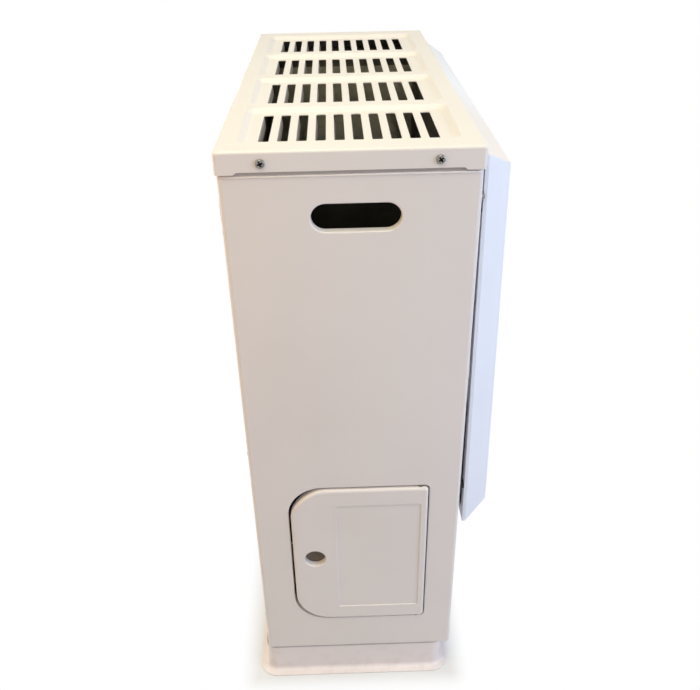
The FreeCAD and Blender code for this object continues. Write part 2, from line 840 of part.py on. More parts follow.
def make_casing_front():
    """The plate above the radiant opening, behind the raised front panel."""
    body = new_body("casing_front")
    plate = facing_front(body, f"({front_plate} + sheet)")
    rectangle(plate, f"-1 * {plate_half}", plate_half, radiant_high, plate_high)
    pad(body, plate, "sheet")
    holes = facing_front(body, front_plate)
    for side in (-1, 1):
        circle(holes, f"{side} * {return_x}", front_screw_z, "screw_hole")
    pocket(body, holes, "2 * sheet")
    return body


def make_front_stiles():
    """The two plates beside the radiant opening."""
    stiles = []
    for name, ends in (("left_stile", (f"-1 * {plate_half}", f"-1 * {radiant_half}")),
                       ("right_stile", (radiant_half, plate_half))):
        stiles.append(block(name, ends, (front_plate, f"{front_plate} + sheet"),
                            (f"{radiant_low} + seam_gap", f"{radiant_high} - seam_gap")))
    return group("front_stiles", stiles)


def make_front_grille():
    """The plate below the radiant opening, slotted to let the room's air in."""
    body = new_body("front_grille")
    plate = facing_front(body, f"({front_plate} + sheet)")
    rectangle(plate, f"-1 * {plate_half}", plate_half, plate_low, radiant_low)
    pad(body, plate, "sheet")
    slot = facing_front(body, front_plate)
    x = "(-grille_column_pitch * (grille_columns - 1) / 2)"
    stadium(slot, f"{x} - grille_slot_length / 2", f"{x} + grille_slot_length / 2",
            f"{grille_z} - grille_slot_height / 2", f"{grille_z} + grille_slot_height / 2")
    cut = pocket(body, slot, "2 * sheet")
    repeat(body, [cut], X=("grille_column_pitch", "grille_columns"), Z=("grille_row_pitch", "grille_rows"))
    return body


def make_rear_panel():
    body = new_body("rear_panel")
    plate = facing_front(body, f"({rear_plate} + sheet)")
    rounded(plate, f"-1 * {plate_half}", plate_half, plate_low, plate_high, "rim_radius")
    pad(body, plate, "sheet")
    holes = facing_front(body, rear_plate)
    circle(holes, "0", flue_z, "flue_radius + seam_gap")
    circle(holes, valve_middle, inlet_z, "inlet_radius + seam_gap")
    for side in (-1, 1):
        for step in (-1, 0, 1):
            circle(holes, f"{side} * {return_x}", f"{rear_screw_middle} + {step} * rear_screw_pitch",
                   "screw_hole")
    pocket(body, holes, "2 * sheet")
    slot = facing_front(body, rear_plate)
    x = "(-grille_column_pitch * (rear_columns - 1) / 2)"
    z = f"({floor_level} + 2 * grille_level)"
    stadium(slot, f"{x} - rear_slot_length / 2", f"{x} + rear_slot_length / 2",
            f"{z} - grille_slot_height / 2", f"{z} + grille_slot_height / 2")
    cut = pocket(body, slot, "2 * sheet")
    repeat(body, [cut], X=("grille_column_pitch", "rear_columns"), Z=("grille_row_pitch", "rear_rows"))
    return body


def make_top_cover():
    """A drawn pan with a row of sunken dishes, each pierced by slots whose tabs hang from the rear edge."""
    body = new_body("top_cover")
    pan = on_level(body, panel_top)
    rectangle(pan, f"-1 * {skirt_outer}", skirt_outer, f"-1 * {skirt_face}", skirt_face)
    pad(body, pan, "skirt_height")
    half_x = value(skirt_outer)
    half_y = value(skirt_face)
    fillet(body, "cover_edge_radius + cover_corner_ease",
           lambda e: abs(abs(e.BoundBox.XMin) - half_x) < 1e-4 and e.BoundBox.XLength < 1e-4
           and abs(abs(e.BoundBox.YMin) - half_y) < 1e-4 and e.BoundBox.YLength < 1e-4)
    fillet(body, "cover_edge_radius", lambda e: lies(e, z=value(cover_top)))
    hollow(body, "sheet", lambda f: lies(f, z=value(panel_top)))
    relief = facing_side(body, "0")
    stop = f"({rear_face} - skirt_relief_end)"
    polygon(relief, [
        (f"-1 * {stop}", f"{panel_top} - sheet"),
        (stop, f"{panel_top} - sheet"),
        (f"{stop} - 2 * skirt_relief", f"{panel_top} + skirt_relief"),
        (f"-1 * {stop} + 2 * skirt_relief", f"{panel_top} + skirt_relief"),
    ])
    through(body, relief)
    first_dish = f"(-{dish_pitch} * (dish_count - 1) / 2)"

    def dish(depth, drop):
        """Upper and lower outline of a dish, the whole moved down by drop."""
        sketches = []
        for level, shrink in (("0", "0"), (depth, "dish_slope")):
            sketch = on_level(body, f"{cover_top} - {drop} - {level}")
            rounded(sketch, f"{first_dish} - {dish_length} / 2 + {shrink}",
                    f"{first_dish} + {dish_length} / 2 - {shrink}", f"-{dish_width} / 2 + {shrink}",
                    f"{dish_width} / 2 - {shrink}", f"dish_corner - {shrink} / 2")
            sketches.append(sketch)
        return sketches

    upper, lower = dish("dish_depth", "sheet")
    outside = body.newObject("PartDesign::AdditiveLoft", "dish_outside")
    outside.Profile = upper
    outside.Sections = [lower]
    outside.Ruled = True
    upper, lower = dish("dish_depth", "0")
    inside = body.newObject("PartDesign::SubtractiveLoft", "dish_inside")
    inside.Profile = upper
    inside.Sections = [lower]
    inside.Ruled = True
    repeat(body, [outside, inside], X=(dish_pitch, "dish_count"))

    slot_y = "(-slot_pitch * (slot_count - 1) / 2)"
    slot = on_level(body, cover_top)
    rounded(slot, f"{first_dish} - {slot_length} / 2", f"{first_dish} + {slot_length} / 2",
            f"{slot_y} - slot_width / 2", f"{slot_y} + slot_width / 2", "slot_corner")
    cut = pocket(body, slot, "dish_depth + 3 * sheet")
    grid = {"X": (dish_pitch, "dish_count"), "Y": ("slot_pitch", "slot_count")}
    repeat(body, [cut], **grid)

    vane = facing_front(body, "0")
    vane.AttachmentOffset = FreeCAD.Placement(Vector(), FreeCAD.Rotation(Vector(1, 0, 0), -1))
    bind(vane, **{
        "AttachmentOffset.Rotation.Angle": "-vane_lean",
        "AttachmentOffset.Base.y": f"{cover_top} - dish_depth - sheet / 2",
        "AttachmentOffset.Base.z": f"-1 * ({slot_y} + slot_width / 2)",
    })
    run = f"({slot_length} / 2 - slot_corner)"
    rounded(vane, f"{first_dish} - {run}", f"{first_dish} + {run}", "-vane_depth", "0",
            "vane_corner", "vane_corner", "slot_corner / 10", "slot_corner / 10")
    tab = pad(body, vane, "vane_sheet", back=True)
    repeat(body, [tab], **grid)
    holes = facing_side(body, "0")
    for side in (-1, 1):
        circle(holes, f"{side} * skirt_screw_spread / 2", skirt_screw_level, "screw_hole")
    through(body, holes)
    return body


def make_cover_rail(label, side):
    """An angle on the side panel's upper rim that the skirt is screwed to."""
    body = new_body(label)
    run = "(case_depth / 2 - edge_radius - sheet)"
    angle = facing_front(body, f"({run})")
    outer = f"({side} * {rail_face})"
    inner = f"({outer} - {side} * rail_leg)"
    wall = f"({outer} - {side} * sheet)"
    top = f"({cover_top} - sheet - dish_depth - seam_gap)"
    polygon(angle, [
        (outer, panel_top), (inner, panel_top), (inner, f"{panel_top} + sheet"),
        (wall, f"{panel_top} + sheet"), (wall, top), (outer, top),
    ])
    pad(body, angle, f"2 * {run}")
    holes = facing_side(body, outer)
    for end in (-1, 1):
        circle(holes, f"{end} * skirt_screw_spread / 2", skirt_screw_level, "screw_hole")
    pocket(body, holes, "2 * sheet", back=side < 0)
    return body


def make_screws(label, places, axis, rise="screw_head_height"):
    """Pan-head screws with their heads' seats at the given places, driven along the axis."""
    away = {"+": "-", "-": "+"}[axis[0]] + axis[1]
    screws = []
    for number, (x, y, z) in enumerate(places, start=1):
        shank = cylinder(f"{label}_shank_{number}", "screw_shank", "screw_length", x, y, z, axis)
        head = cone(f"{label}_head_{number}", "screw_head", "screw_crown", rise, x, y, z, away)
        screws.append(fuse(f"{label}_{number}", shank, head))
    return group(label, screws)


def hang_on_front(thing):
    """Places what is drawn from the front panel's upper edge: it leans out at the foot."""
    thing.Placement = FreeCAD.Placement(Vector(), FreeCAD.Rotation(Vector(1, 0, 0), -1))
    bind(thing, **{"Placement.Rotation.Angle": "-front_lean"})
    place(thing, "0", front_root, front_top)
    return thing


def make_front_panel():
    """A pan with sloping borders whose face stands further out at the foot, and a rim turned in at its back."""
    body = new_body("front_panel")
    profile = facing_side(body, f"-1 * {front_half}")
    polygon(profile, [
        ("0", "0"), ("-front_edge", "0"), ("-front_depth", "-front_top_slope"),
        (f"-1 * {front_low_depth}", "-front_height + front_low_slope"), ("-front_edge", "-front_height"),
        ("0", "-front_height"),
    ])
    pad(body, profile, f"2 * {front_half}")
    past = f"(2 * {front_low_depth})"
    side_slope = "(front_side_slope / (front_depth - front_edge))"
    for side in (-1, 1):
        wedge = on_level(body, "front_edge")
        polygon(wedge, [
            (f"{side} * {front_half}", "-front_edge"),
            (f"{side} * ({front_half} - ({past} - front_edge) * {side_slope})", f"-1 * {past}"),
            (f"{side} * ({front_half} + front_edge)", f"-1 * {past}"),
            (f"{side} * ({front_half} + front_edge)", "-front_edge"),
        ])
        pocket(body, wedge, "front_height + 2 * front_edge")
    fillet(body, "front_edge_radius", lambda e: not lies(e, y=0))

    inside = f"({front_half} - sheet)"
    straight = "(front_edge - sheet / 3)"
    border = facing_front(body, "0")
    rectangle(border, f"-1 * {inside}", inside, "-front_height + sheet", "-sheet")
    pocket(body, border, straight, back=True)
    foot = facing_front(body, f"(-1 * {straight})")
    rectangle(foot, f"-1 * {inside}", inside, "-front_height + sheet", "-sheet")
    top_slope = "(front_top_slope / (front_depth - front_edge))"
    low_slope = f"(front_low_slope / ({front_low_depth} - front_edge))"
    crown = facing_front(body, "0")
    crown.AttachmentOffset = FreeCAD.Placement(Vector(), FreeCAD.Rotation(Vector(1, 0, 0), -1))
    bind(crown, **{
        "AttachmentOffset.Rotation.Angle": "-face_lean",
        "AttachmentOffset.Base.y": "-front_top_slope",
        "AttachmentOffset.Base.z": "front_depth - sheet",
    })

    def wall(slope):
        """How far the inside of a sloping border is shifted at the face."""
        return f"(sheet * (sqrt(1 + {slope} * {slope}) - {slope}))"

    upper = f"({front_half} - front_side_slope - {wall(side_slope)})"
    lower = f"({front_half} - ({front_low_depth} - front_edge) * {side_slope} - {wall(side_slope)})"
    high = f"(-1 * {wall(top_slope)})"
    low = f"(-front_height + front_top_slope + front_low_slope + {wall(low_slope)})"
    polygon(crown, [(f"-1 * {lower}", low), (lower, low), (upper, high), (f"-1 * {upper}", high)])
    cavity = body.newObject("PartDesign::SubtractiveLoft", "front_cavity")
    cavity.Profile = foot
    cavity.Sections = [crown]
    cavity.Ruled = True

    rim = facing_front(body, "0")
    rounded(rim, f"-1 * {front_half}", front_half, "-front_height", "0", "front_edge_radius")
    edge = f"({front_half} - front_rim)"
    rectangle(rim, f"-1 * {edge}", edge, "-front_height + front_rim", "-front_rim")
    pad(body, rim, "sheet")
    window = facing_front(body, "0")
    rounded(window, "-window_width / 2", "window_width / 2", f"-1 * {window_drop} - window_height / 2",
            f"-1 * {window_drop} + window_height / 2", "window_corner")
    through(body, window)
    return hang_on_front(body)


def hang_on_face(thing):
    """Places what is drawn from the middle of the window, on the front panel's leaning face."""
    thing.Placement = FreeCAD.Placement(Vector(), FreeCAD.Rotation(Vector(1, 0, 0), -1))
    bind(thing, **{"Placement.Rotation.Angle": "-front_lean - face_lean"})
    place(thing, "0", window_y, window_z)
    return thing


def window_outline(sketch, grow, corner):
    across = f"(window_width / 2 + {grow})"
    up = f"(window_height / 2 + {grow})"
    rounded(sketch, f"-1 * {across}", across, f"-1 * {up}", up, corner)


def make_window_bezel():
    body = new_body("window_bezel")
    ring = facing_front(body, "0")
    window_outline(ring, "bezel_width", "window_corner + bezel_width")
    pad(body, ring, "bezel_thickness")
    fillet(body, "bezel_thickness / 2", lambda e: lies(e, y=-value("bezel_thickness")))
    sight = facing_front(body, "0")
    window_outline(sight, "0", "window_corner")
    pocket(body, sight, "2 * bezel_thickness", back=True)
    return hang_on_face(body)


def make_window_glass():
    body = new_body("window_glass")
    pane = facing_front(body, "(sheet + glass_thickness)")
    window_outline(pane, "glass_margin", "window_corner")
    pad(body, pane, "glass_thickness")
    return hang_on_face(body)


def make_window_clips():
    """Four folded clips on the inside of the front panel that hold the glass."""
    clips = []
    behind = "(sheet + glass_thickness + seam_gap)"
    for number, (side, end) in enumerate([(-1, -1), (1, -1), (-1, 1), (1, 1)], start=1):
        body = new_body(f"window_clip_{number}")
        sketch = facing_side(body, f"{side} * window_width / 3 - clip_length / 2")
        edge = f"({end} * (window_height / 2 + glass_margin + seam_gap))"
        out = f"({edge} + {end} * clip_length / 2)"
        wall = f"({edge} + {end} * sheet)"
        over = f"({edge} - {end} * glass_margin / 2)"
        polygon(sketch, [
            ("sheet", edge), ("sheet", out), ("2 * sheet", out), ("2 * sheet", wall),
            (f"{behind} + sheet", wall), (f"{behind} + sheet", over), (behind, over), (behind, edge),
        ])
        pad(body, sketch, "clip_length")
        clips.append(body)
    return hang_on_face(group("window_clips", clips))


def make_front_spacers():
    """Buffers between the front panel's rim and the casing front, longer at the foot."""
    spacers = []
    for end, level in (("upper", "(-spacer_level)"), ("lower", "(-front_height + spacer_level)")):
        reach = f"(front_gap + sheet - seam_gap - {level} * sin(front_lean))"
        for side in (-1, 1):
            spacers.append(cylinder(f"{end}_spacer_{len(spacers) + 1}", "spacer_radius", reach,
                                    f"{side} * ({front_half} - spacer_inset)", "0", level, "+Y"))
    return hang_on_front(group("front_panel_spacers", spacers))


def make_access_door():
    body = new_body("access_door")

    def outline(x):
        sketch = facing_side(body, x)
        rounded(sketch, door_front, door_rear, door_low, door_high,
                "door_tight", "door_swept", "door_swept", "door_tight")
        return sketch

    pad(body, outline(door_face), "door_depth")
    face = value(door_face)
    back = value(door_back)
    fillet(body, "door_edge_radius", lambda e: lies(e, x=face))
    hollow(body, "sheet", lambda f: lies(f, x=back))
    recess_y = (f"{door_front} + panel_hinge_margin", f"{door_rear} - panel_rear_margin")
    recess_z = (f"{door_low} + panel_low_margin", f"{door_high} - panel_high_margin")
    boss = facing_side(body, door_face)
    rounded(boss, f"{recess_y[0]} - sheet", f"{recess_y[1]} + sheet", f"{recess_z[0]} - sheet",
            f"{recess_z[1]} + sheet", "panel_corner + sheet")
    pad(body, boss, "sheet + panel_recess")
    recess = facing_side(body, door_face)
    rounded(recess, *recess_y, *recess_z, "panel_corner")
    pocket(body, recess, "panel_recess", back=True)
    y_ends = [value(end) for end in recess_y]
    z_ends = [value(end) for end in recess_z]
    fillet(body, "panel_rim", lambda e: lies(e, x=face) and within(e, "y", *y_ends) and within(e, "z", *z_ends))
    finger_y = f"({door_rear} - finger_from_rear)"
    ring = facing_side(body, door_face)
    circle(ring, finger_y, door_middle, "finger_hole / 2 + sheet")
    pad(body, ring, "finger_flange")
    hole = facing_side(body, door_face)
    circle(hole, finger_y, door_middle, "finger_hole / 2")
    pocket(body, hole, "2 * finger_flange", back=True)
    reach = value("finger_hole")
    middle = value(finger_y)
    fillet(body, "finger_rim", lambda e: lies(e, x=face) and within(e, "y", middle - reach, middle + reach)
           and within(e, "z", value(door_middle) - reach, value(door_middle) + reach) and e.Closed)
    pins = on_level(body, f"({door_low} + {door_high}) / 2")
    circle(pins, hinge_x, hinge_y, "pin_radius + running_gap")
    cut = body.newObject("PartDesign::Pocket", "access_door_pin_holes")
    cut.Profile = pins
    cut.SideType = "Symmetric"
    bind(cut, Length="opening_height")
    return body


def make_hinge_pins():
    """Riveted to the door's edge, with a collar in the gap, turning in the opening's flange."""
    pins = []
    for name, up, edge in (("upper", "+Z", door_high), ("lower", "-Z", door_low)):
        sign = 1 if up == "+Z" else -1
        start = f"({edge} - {sign} * (sheet + pin_radius))"
        shank = cylinder(f"{name}_pin", "pin_radius", "pin_radius + 2 * sheet + door_gap + pin_reach",
                         hinge_x, hinge_y, start, up)
        collar = cylinder(f"{name}_pin_collar", "pin_collar", "door_gap - slide_gap", hinge_x, hinge_y,
                          edge, up)
        head = cylinder(f"{name}_pin_head", "pin_head", "pin_radius", hinge_x, hinge_y, start, up)
        pins.append(fuse(f"{name}_hinge_pin", shank, collar, head))
    return group("door_hinge_pins", pins)


def make_door_catch():
    """A folded bracket on the inside of the side panel, reaching behind the door's edge."""
    body = new_body("door_catch")
    sketch = on_level(body, f"{door_middle} - catch_width / 2")
    foot = f"({left_face} + sheet)"
    arm = f"({magnet_face} + magnet_thickness)"
    polygon(sketch, [
        (foot, catch_wall), (foot, f"{catch_wall} + catch_width / 2"),
        (f"{foot} + sheet", f"{catch_wall} + catch_width / 2"), (f"{foot} + sheet", f"{catch_wall} + sheet"),
        (f"{arm} + sheet", f"{catch_wall} + sheet"), (f"{arm} + sheet", f"{catch_wall} - catch_width / 2"),
        (arm, f"{catch_wall} - catch_width / 2"), (arm, catch_wall),
    ])
    pad(body, sketch, "catch_width")
    return body


def make_door_magnet():
    return block("door_magnet", (magnet_face, f"{magnet_face} + magnet_thickness"),
                 (f"{catch_wall} - catch_width / 2", f"{opening_rear} - seam_gap"),
                 (f"{door_middle} - magnet_height / 2", f"{door_middle} + magnet_height / 2"))


def make_heat_shield():
    """The wall between the control compartment and the firebox."""
    body = new_body("heat_shield")
    sketch = facing_front(body, "(shield_depth / 2)")
    foot = f"({shield_x} - rail_leg)"
    polygon(sketch, [
        (foot, base_top), (f"{shield_x} + sheet", base_top),
        (f"{shield_x} + sheet", f"{base_top} + shield_height"), (shield_x, f"{base_top} + shield_height"),
        (shield_x, f"{base_top} + sheet"), (foot, f"{base_top} + sheet"),
    ])
    pad(body, sketch, "shield_depth")
    holes = facing_side(body, shield_x)
    circle(holes, hearth_y, burner_z, "injector_radius + seam_gap")
    circle(holes, pilot_y, pilot_run, "pilot_pipe_radius + seam_gap")
    circle(holes, pilot_y, probe_run, "lead_radius + seam_gap")
    circle(holes, igniter_y, igniter_z, "lead_radius + seam_gap")
    pocket(body, holes, "2 * sheet", back=True)
    return body


def make_right_heat_shield():
    """The wall between the firebox and the right side panel."""
    body = new_body("right_heat_shield")
    sketch = facing_front(body, "(shield_depth / 2)")
    wall = f"({firebox_right} + shield_clear)"
    foot = f"({wall} + sheet + rail_leg)"
    top = f"({panel_top} - right_shield_drop)"
    polygon(sketch, [
        (wall, base_top), (foot, base_top), (foot, f"{base_top} + sheet"),
        (f"{wall} + sheet", f"{base_top} + sheet"), (f"{wall} + sheet", top), (wall, top),
    ])
    pad(body, sketch, "shield_depth")
    return body


def make_control_bracket():
    """A hat-section bracket on the heat shield that carries the valve and the igniter."""
    body = new_body("control_bracket")
    sketch = on_level(body, f"{floor_level} + bracket_level")
    front = f"({hearth_y} - bracket_front)"
    rear = f"({front} + bracket_width)"
    web = bracket_x
    inner = f"({bracket_x} + sheet)"
    foot = f"({shield_x} - sheet)"
    polygon(sketch, [
        (web, front), (foot, front), (foot, f"{front} - bracket_foot"), (shield_x, f"{front} - bracket_foot"),
        (shield_x, f"{front} + sheet"), (inner, f"{front} + sheet"), (inner, f"{rear} - sheet"),
        (shield_x, f"{rear} - sheet"), (shield_x, f"{rear} + bracket_foot"), (foot, f"{rear} + bracket_foot"),
        (foot, rear), (web, rear),
    ])
    pad(body, sketch, "bracket_height")
    edges = value(web)
    fillet(body, "2 * sheet", lambda e: e.BoundBox.ZLength > value("bracket_foot") and lies(e, x=edges))
    holes = facing_side(body, bracket_x)
    circle(holes, hearth_y, knob_z, "turret_radius + seam_gap")
    circle(holes, igniter_y, igniter_z, "igniter_radius + seam_gap")
    pocket(body, holes, "2 * sheet", back=True)
    return body


def make_gas_valve():
    body = new_body("gas_valve")
    block_sketch = facing_side(body, valve_x)
    rounded(block_sketch, f"{hearth_y} - valve_width / 2", f"{hearth_y} + valve_width / 2",
            valve_low, valve_high, "valve_corner")
    pad(body, block_sketch, "valve_length")
    far = value(f"{valve_x} + valve_length")
    fillet(body, "valve_corner / 2", lambda e: lies(e, x=far))
    turret = facing_side(body, valve_x)
    circle(turret, hearth_y, knob_z, "turret_radius")
    pad(body, turret, "turret_length + sheet", back=True)
    bosses = on_level(body, valve_low)
    circle(bosses, valve_middle, hearth_y, "inlet_boss")
    pad(body, bosses, "boss_length", back=True)
    outlet = on_level(body, valve_high)
    circle(outlet, valve_middle, hearth_y, "boss_radius")
    pad(body, outlet, "boss_length")
    ports = facing_front(body, f"({hearth_y} - valve_width / 2)")
    circle(ports, valve_middle, pilot_run, "boss_radius")
    circle(ports, valve_middle, probe_run, "boss_radius")
    pad(body, ports, "boss_length")
    bore = facing_side(body, turret_end)
    circle(bore, hearth_y, knob_z, "spindle_radius + running_gap")
    depth = f"{spindle_inner} + seam_gap + push_pin_length + push_travel + push_clear - {turret_end}"
    pocket(body, bore, depth, back=True)
    return body


def make_knob():
    """A round skirt with a raised grip bar and a bore for the spindle."""
    body = new_body("control_knob")
    skirt = facing_side(body, knob_back)
    circle(skirt, hearth_y, knob_z, "knob_radius")
    pad(body, skirt, "knob_skirt", back=True)
    grip = facing_side(body, knob_back)
    rounded(grip, f"{hearth_y} - knob_grip / 2", f"{hearth_y} + knob_grip / 2",
            f"{knob_z} - knob_radius + knob_grip_inset", f"{knob_z} + knob_radius - knob_grip_inset",
            "knob_grip / 2.5")
    pad(body, grip, "knob_depth", back=True)
    hub = facing_side(body, knob_back)
    circle(hub, hearth_y, knob_z, "knob_hub")
    pad(body, hub, "knob_hub_depth", back=True)
    rim = value(f"{knob_back} - knob_skirt")
    fillet(body, "sheet", lambda e: lies(e, x=value(knob_face))
           or (lies(e, x=rim) and e.BoundBox.ZLength > value("knob_radius") * 1.9))
    bore = facing_side(body, knob_back)
    circle(bore, hearth_y, knob_z, "spindle_radius + running_gap")
    pocket(body, bore, f"{knob_back} - {spindle_outer} + seam_gap")
    return body


def make_igniter_body():
    """Collar and nut clamp the bracket between them; the button slides in its bore."""
    body = new_body("igniter_body")
    sketch = on_level(body, "0")
    rear = "igniter_length"
    polygon(sketch, [
        ("-igniter_flange", "button_radius + slide_gap"), ("-igniter_flange", "igniter_collar"),
        ("0", "igniter_collar"), ("0", "igniter_radius"),
        ("sheet", "igniter_radius"), ("sheet", "igniter_collar"),
        ("sheet + igniter_nut", "igniter_collar"), ("sheet + igniter_nut", "igniter_radius"),
        (f"{rear} - terminal_length", "igniter_radius"), (f"{rear} - terminal_length", "terminal_radius"),
        (rear, "terminal_radius"), (rear, "0"),
        ("igniter_bore", "0"), ("igniter_bore", "button_radius + slide_gap"),
    ])
    revolve(body, sketch, "H_Axis")
    place(body, bracket_x, igniter_y, igniter_z)
    return body


def make_igniter_button():
    body = new_body("igniter_button")
    sketch = on_level(body, "0")
    front = "(-button_travel - button_proud)"
    polygon(sketch, [
        (front, "0"), (front, "button_radius - button_chamfer"), (f"{front} + button_chamfer", "button_radius"),
        (f"{front} + button_length", "button_radius"), (f"{front} + button_length", "0"),
    ])
    revolve(body, sketch, "H_Axis")
    place(body, bracket_x, igniter_y, igniter_z)
    return body


def make_inlet_nipple():
    """A pipe nipple with its hexagon against the inside of the rear panel, turned down behind its thread."""
    neck = cylinder("inlet_shank", "inlet_radius - inlet_relief", "inlet_length + sheet + inlet_tail", valve_middle,
                    f"{rear_plate} - inlet_tail", inlet_z, "+Y")
    thread = cylinder("inlet_stub", "inlet_radius", "inlet_length - inlet_neck", valve_middle,
                      f"{rear_plate} + sheet + inlet_neck", inlet_z, "+Y")
    collar = doc.addObject("Part::Prism", "inlet_hexagon")
    collar.Polygon = 6
    collar.Placement = FreeCAD.Placement(Vector(), turned_to("+Y"))
    bind(collar, Circumradius="inlet_hex", Height="inlet_hex_height")
    place(collar, valve_middle, f"{rear_plate} - inlet_hex_height", inlet_z)
    solid = fuse("inlet_solid", neck, thread, collar)
    bore = cylinder("inlet_bore_tool", "inlet_bore", "inlet_length + 3 * sheet + inlet_tail", valve_middle,
                    f"{rear_plate} - inlet_tail - sheet", inlet_z, "+Y")
    nipple = doc.addObject("Part::Cut", "gas_inlet_nipple")
    nipple.Base = solid
    nipple.Tool = bore
    return nipple


def make_injector():
    shank = cylinder("injector_shank", "injector_radius", "injector_tail + sheet + injector_step",
                     f"{shield_x} - injector_tail", hearth_y, burner_z, "+X")
    tip = cone("injector_end", "injector_radius", "injector_radius / 2", "injector_tip",
               f"{shield_x} + sheet + injector_step", hearth_y, burner_z, "+X")
    return fuse("injector", shank, tip)


def make_burner():
    """A drawn tube with a flared venturi mouth, closed at its far end, pierced along the top."""
    body = new_body("burner")
    sketch = on_level(body, "0")
    full = "burner_radius"
    inner = "(burner_radius - burner_wall)"
    throat = "venturi_length / 3"
    spread = "venturi_length"
    polygon(sketch, [
        ("0", full), (throat, "burner_throat"), (f"{throat} + throat_length", "burner_throat"), (spread, full),
        (burner_length, full), (burner_length, "0"), (f"{burner_length} - burner_wall", "0"),
        (f"{burner_length} - burner_wall", inner), (spread, inner),
        (f"{throat} + throat_length", "burner_throat - burner_wall"), (throat, "burner_throat - burner_wall"),
        ("0", inner),
    ])
    revolve(body, sketch, "H_Axis")
    port = on_level(body, "burner_radius + port_radius")
    for row in ("port_row", "-port_row"):
        circle(port, "venturi_length + port_margin", row, "port_radius")
    cut = pocket(body, port, "burner_radius / 2")
    repeat(body, [cut], X=(port_pitch, "port_count"))
    place(body, burner_mouth, hearth_y, burner_z)
    return body


def make_burner_straps():
    straps = []
    inside = "(firebox_depth / 2 - firebox_wall)"
    top = f"({burner_z} - burner_radius)"
    far = f"({burner_mouth} + {burner_length} - 2 * strap_width - port_margin)"
    for number, x in enumerate((f"({probe_x} + strap_width)", far), start=1):
        body = new_body(f"burner_strap_{number}")
        sketch = facing_side(body, x)
        front = f"({hearth_y} - {inside})"
        rear = f"({hearth_y} + {inside})"
        low = f"({top} - strap_sheet)"
        polygon(sketch, [
            (front, low), (rear, low),
            (rear, f"{top} + strap_tab"), (f"{rear} - strap_sheet", f"{top} + strap_tab"),
            (f"{rear} - strap_sheet", top), (f"{front} + strap_sheet", top),
            (f"{front} + strap_sheet", f"{top} + strap_tab"), (front, f"{top} + strap_tab"),
        ])
        pad(body, sketch, "strap_width")
        straps.append(body)
    return group("burner_straps", straps)


def make_pilot_burner():
    """A plate beside the burner with the pilot's jet and hood, holed for the probe and the electrode."""
    body = new_body("pilot_burner")
    sketch = on_level(body, pilot_plate)
    edge = f"({hearth_y} - burner_radius)"
    rounded(sketch, f"{pilot_x} - 2 * pilot_pitch", f"{pilot_x} + 2 * pilot_pitch",
            f"{pilot_y} - pilot_pitch * 1.4", edge, "hood_corner")
    pad(body, sketch, "firebox_wall")
    jet = on_level(body, f"{pilot_plate} - pilot_tail")
    circle(jet, pilot_x, pilot_y, "pilot_radius")
    pad(body, jet, "pilot_length")
    hood = on_level(body, f"{pilot_plate} + hood_level")
    rounded(hood, f"{pilot_x} - hood_width / 2", f"{pilot_x} + hood_width / 2", f"{pilot_y} - hood_front",
            f"{pilot_y} + hood_rear", "hood_corner")
    pad(body, hood, "hood_height")
    holes = on_level(body, f"{pilot_plate} + firebox_wall")
    circle(holes, probe_x, pilot_y, "probe_radius + running_gap")
    circle(holes, spark_x, igniter_y, "electrode_radius + running_gap")
    pocket(body, holes, "2 * firebox_wall")
    return body


def make_thermocouple():
    rod = cylinder("thermocouple_rod", "probe_radius", "probe_tail + probe_rise", probe_x, pilot_y,
                   f"{pilot_plate} - probe_tail")
    tip = cone("thermocouple_tip", "probe_radius", "probe_radius / 2", "probe_tip", probe_x, pilot_y,
               f"{pilot_plate} + probe_rise")
    collar = cylinder("thermocouple_collar", "probe_collar", "probe_collar_height", probe_x, pilot_y,
                      f"{pilot_plate} - probe_collar_height")
    return fuse("thermocouple", rod, tip, collar)


def make_electrode():
    ceramic = cylinder("electrode_ceramic", "electrode_radius", "electrode_tail + electrode_rise", spark_x,
                       igniter_y, f"{pilot_plate} - electrode_tail")
    collar = cylinder("electrode_collar", "electrode_collar", "electrode_collar_height", spark_x, igniter_y,
                      f"{pilot_plate} - electrode_collar_height")
    wire = cylinder("electrode_wire", "spark_radius", "spark_length", spark_x, igniter_y,
                    f"{pilot_plate} + electrode_rise")
    return fuse("spark_electrode", ceramic, collar, wire)


def make_firebox():
    body = new_body("firebox")
    sketch = on_level(body, firebox_low)
    rounded(sketch, firebox_left, firebox_right, firebox_front, firebox_rear, "firebox_corner")
    pad(body, sketch, f"{firebox_high} - {firebox_low}")
    fillet(body, "firebox_corner", lambda e: lies(e, z=value(firebox_high)))
    hollow(body, "firebox_wall", lambda f: lies(f, z=value(firebox_low)))
    sight = facing_front(body, firebox_front)
    middle = window_z
    rounded(sight, "-window_width / 2", "window_width / 2", f"{middle} - window_height / 2",
            f"{middle} + window_height / 2", "window_corner")
    pocket(body, sight, "3 * firebox_wall")
    flue = facing_front(body, firebox_rear)
    circle(flue, "0", flue_z, "flue_radius - flue_wall")
    pocket(body, flue, "3 * firebox_wall", back=True)
    mouth = facing_side(body, firebox_left)
    circle(mouth, hearth_y, burner_z, "burner_radius + mouth_gap")
    pocket(body, mouth, "3 * firebox_wall", back=True)
    return body


def make_firebox_glass():
    body = new_body("firebox_glass")
    middle = window_z
    pane = facing_front(body, firebox_front)
    rounded(pane, "-window_width / 2 - glass_margin", "window_width / 2 + glass_margin",
            f"{middle} - window_height / 2 - glass_margin", f"{middle} + window_height / 2 + glass_margin",
            "window_corner")
    pad(body, pane, "glass_thickness")
    return body


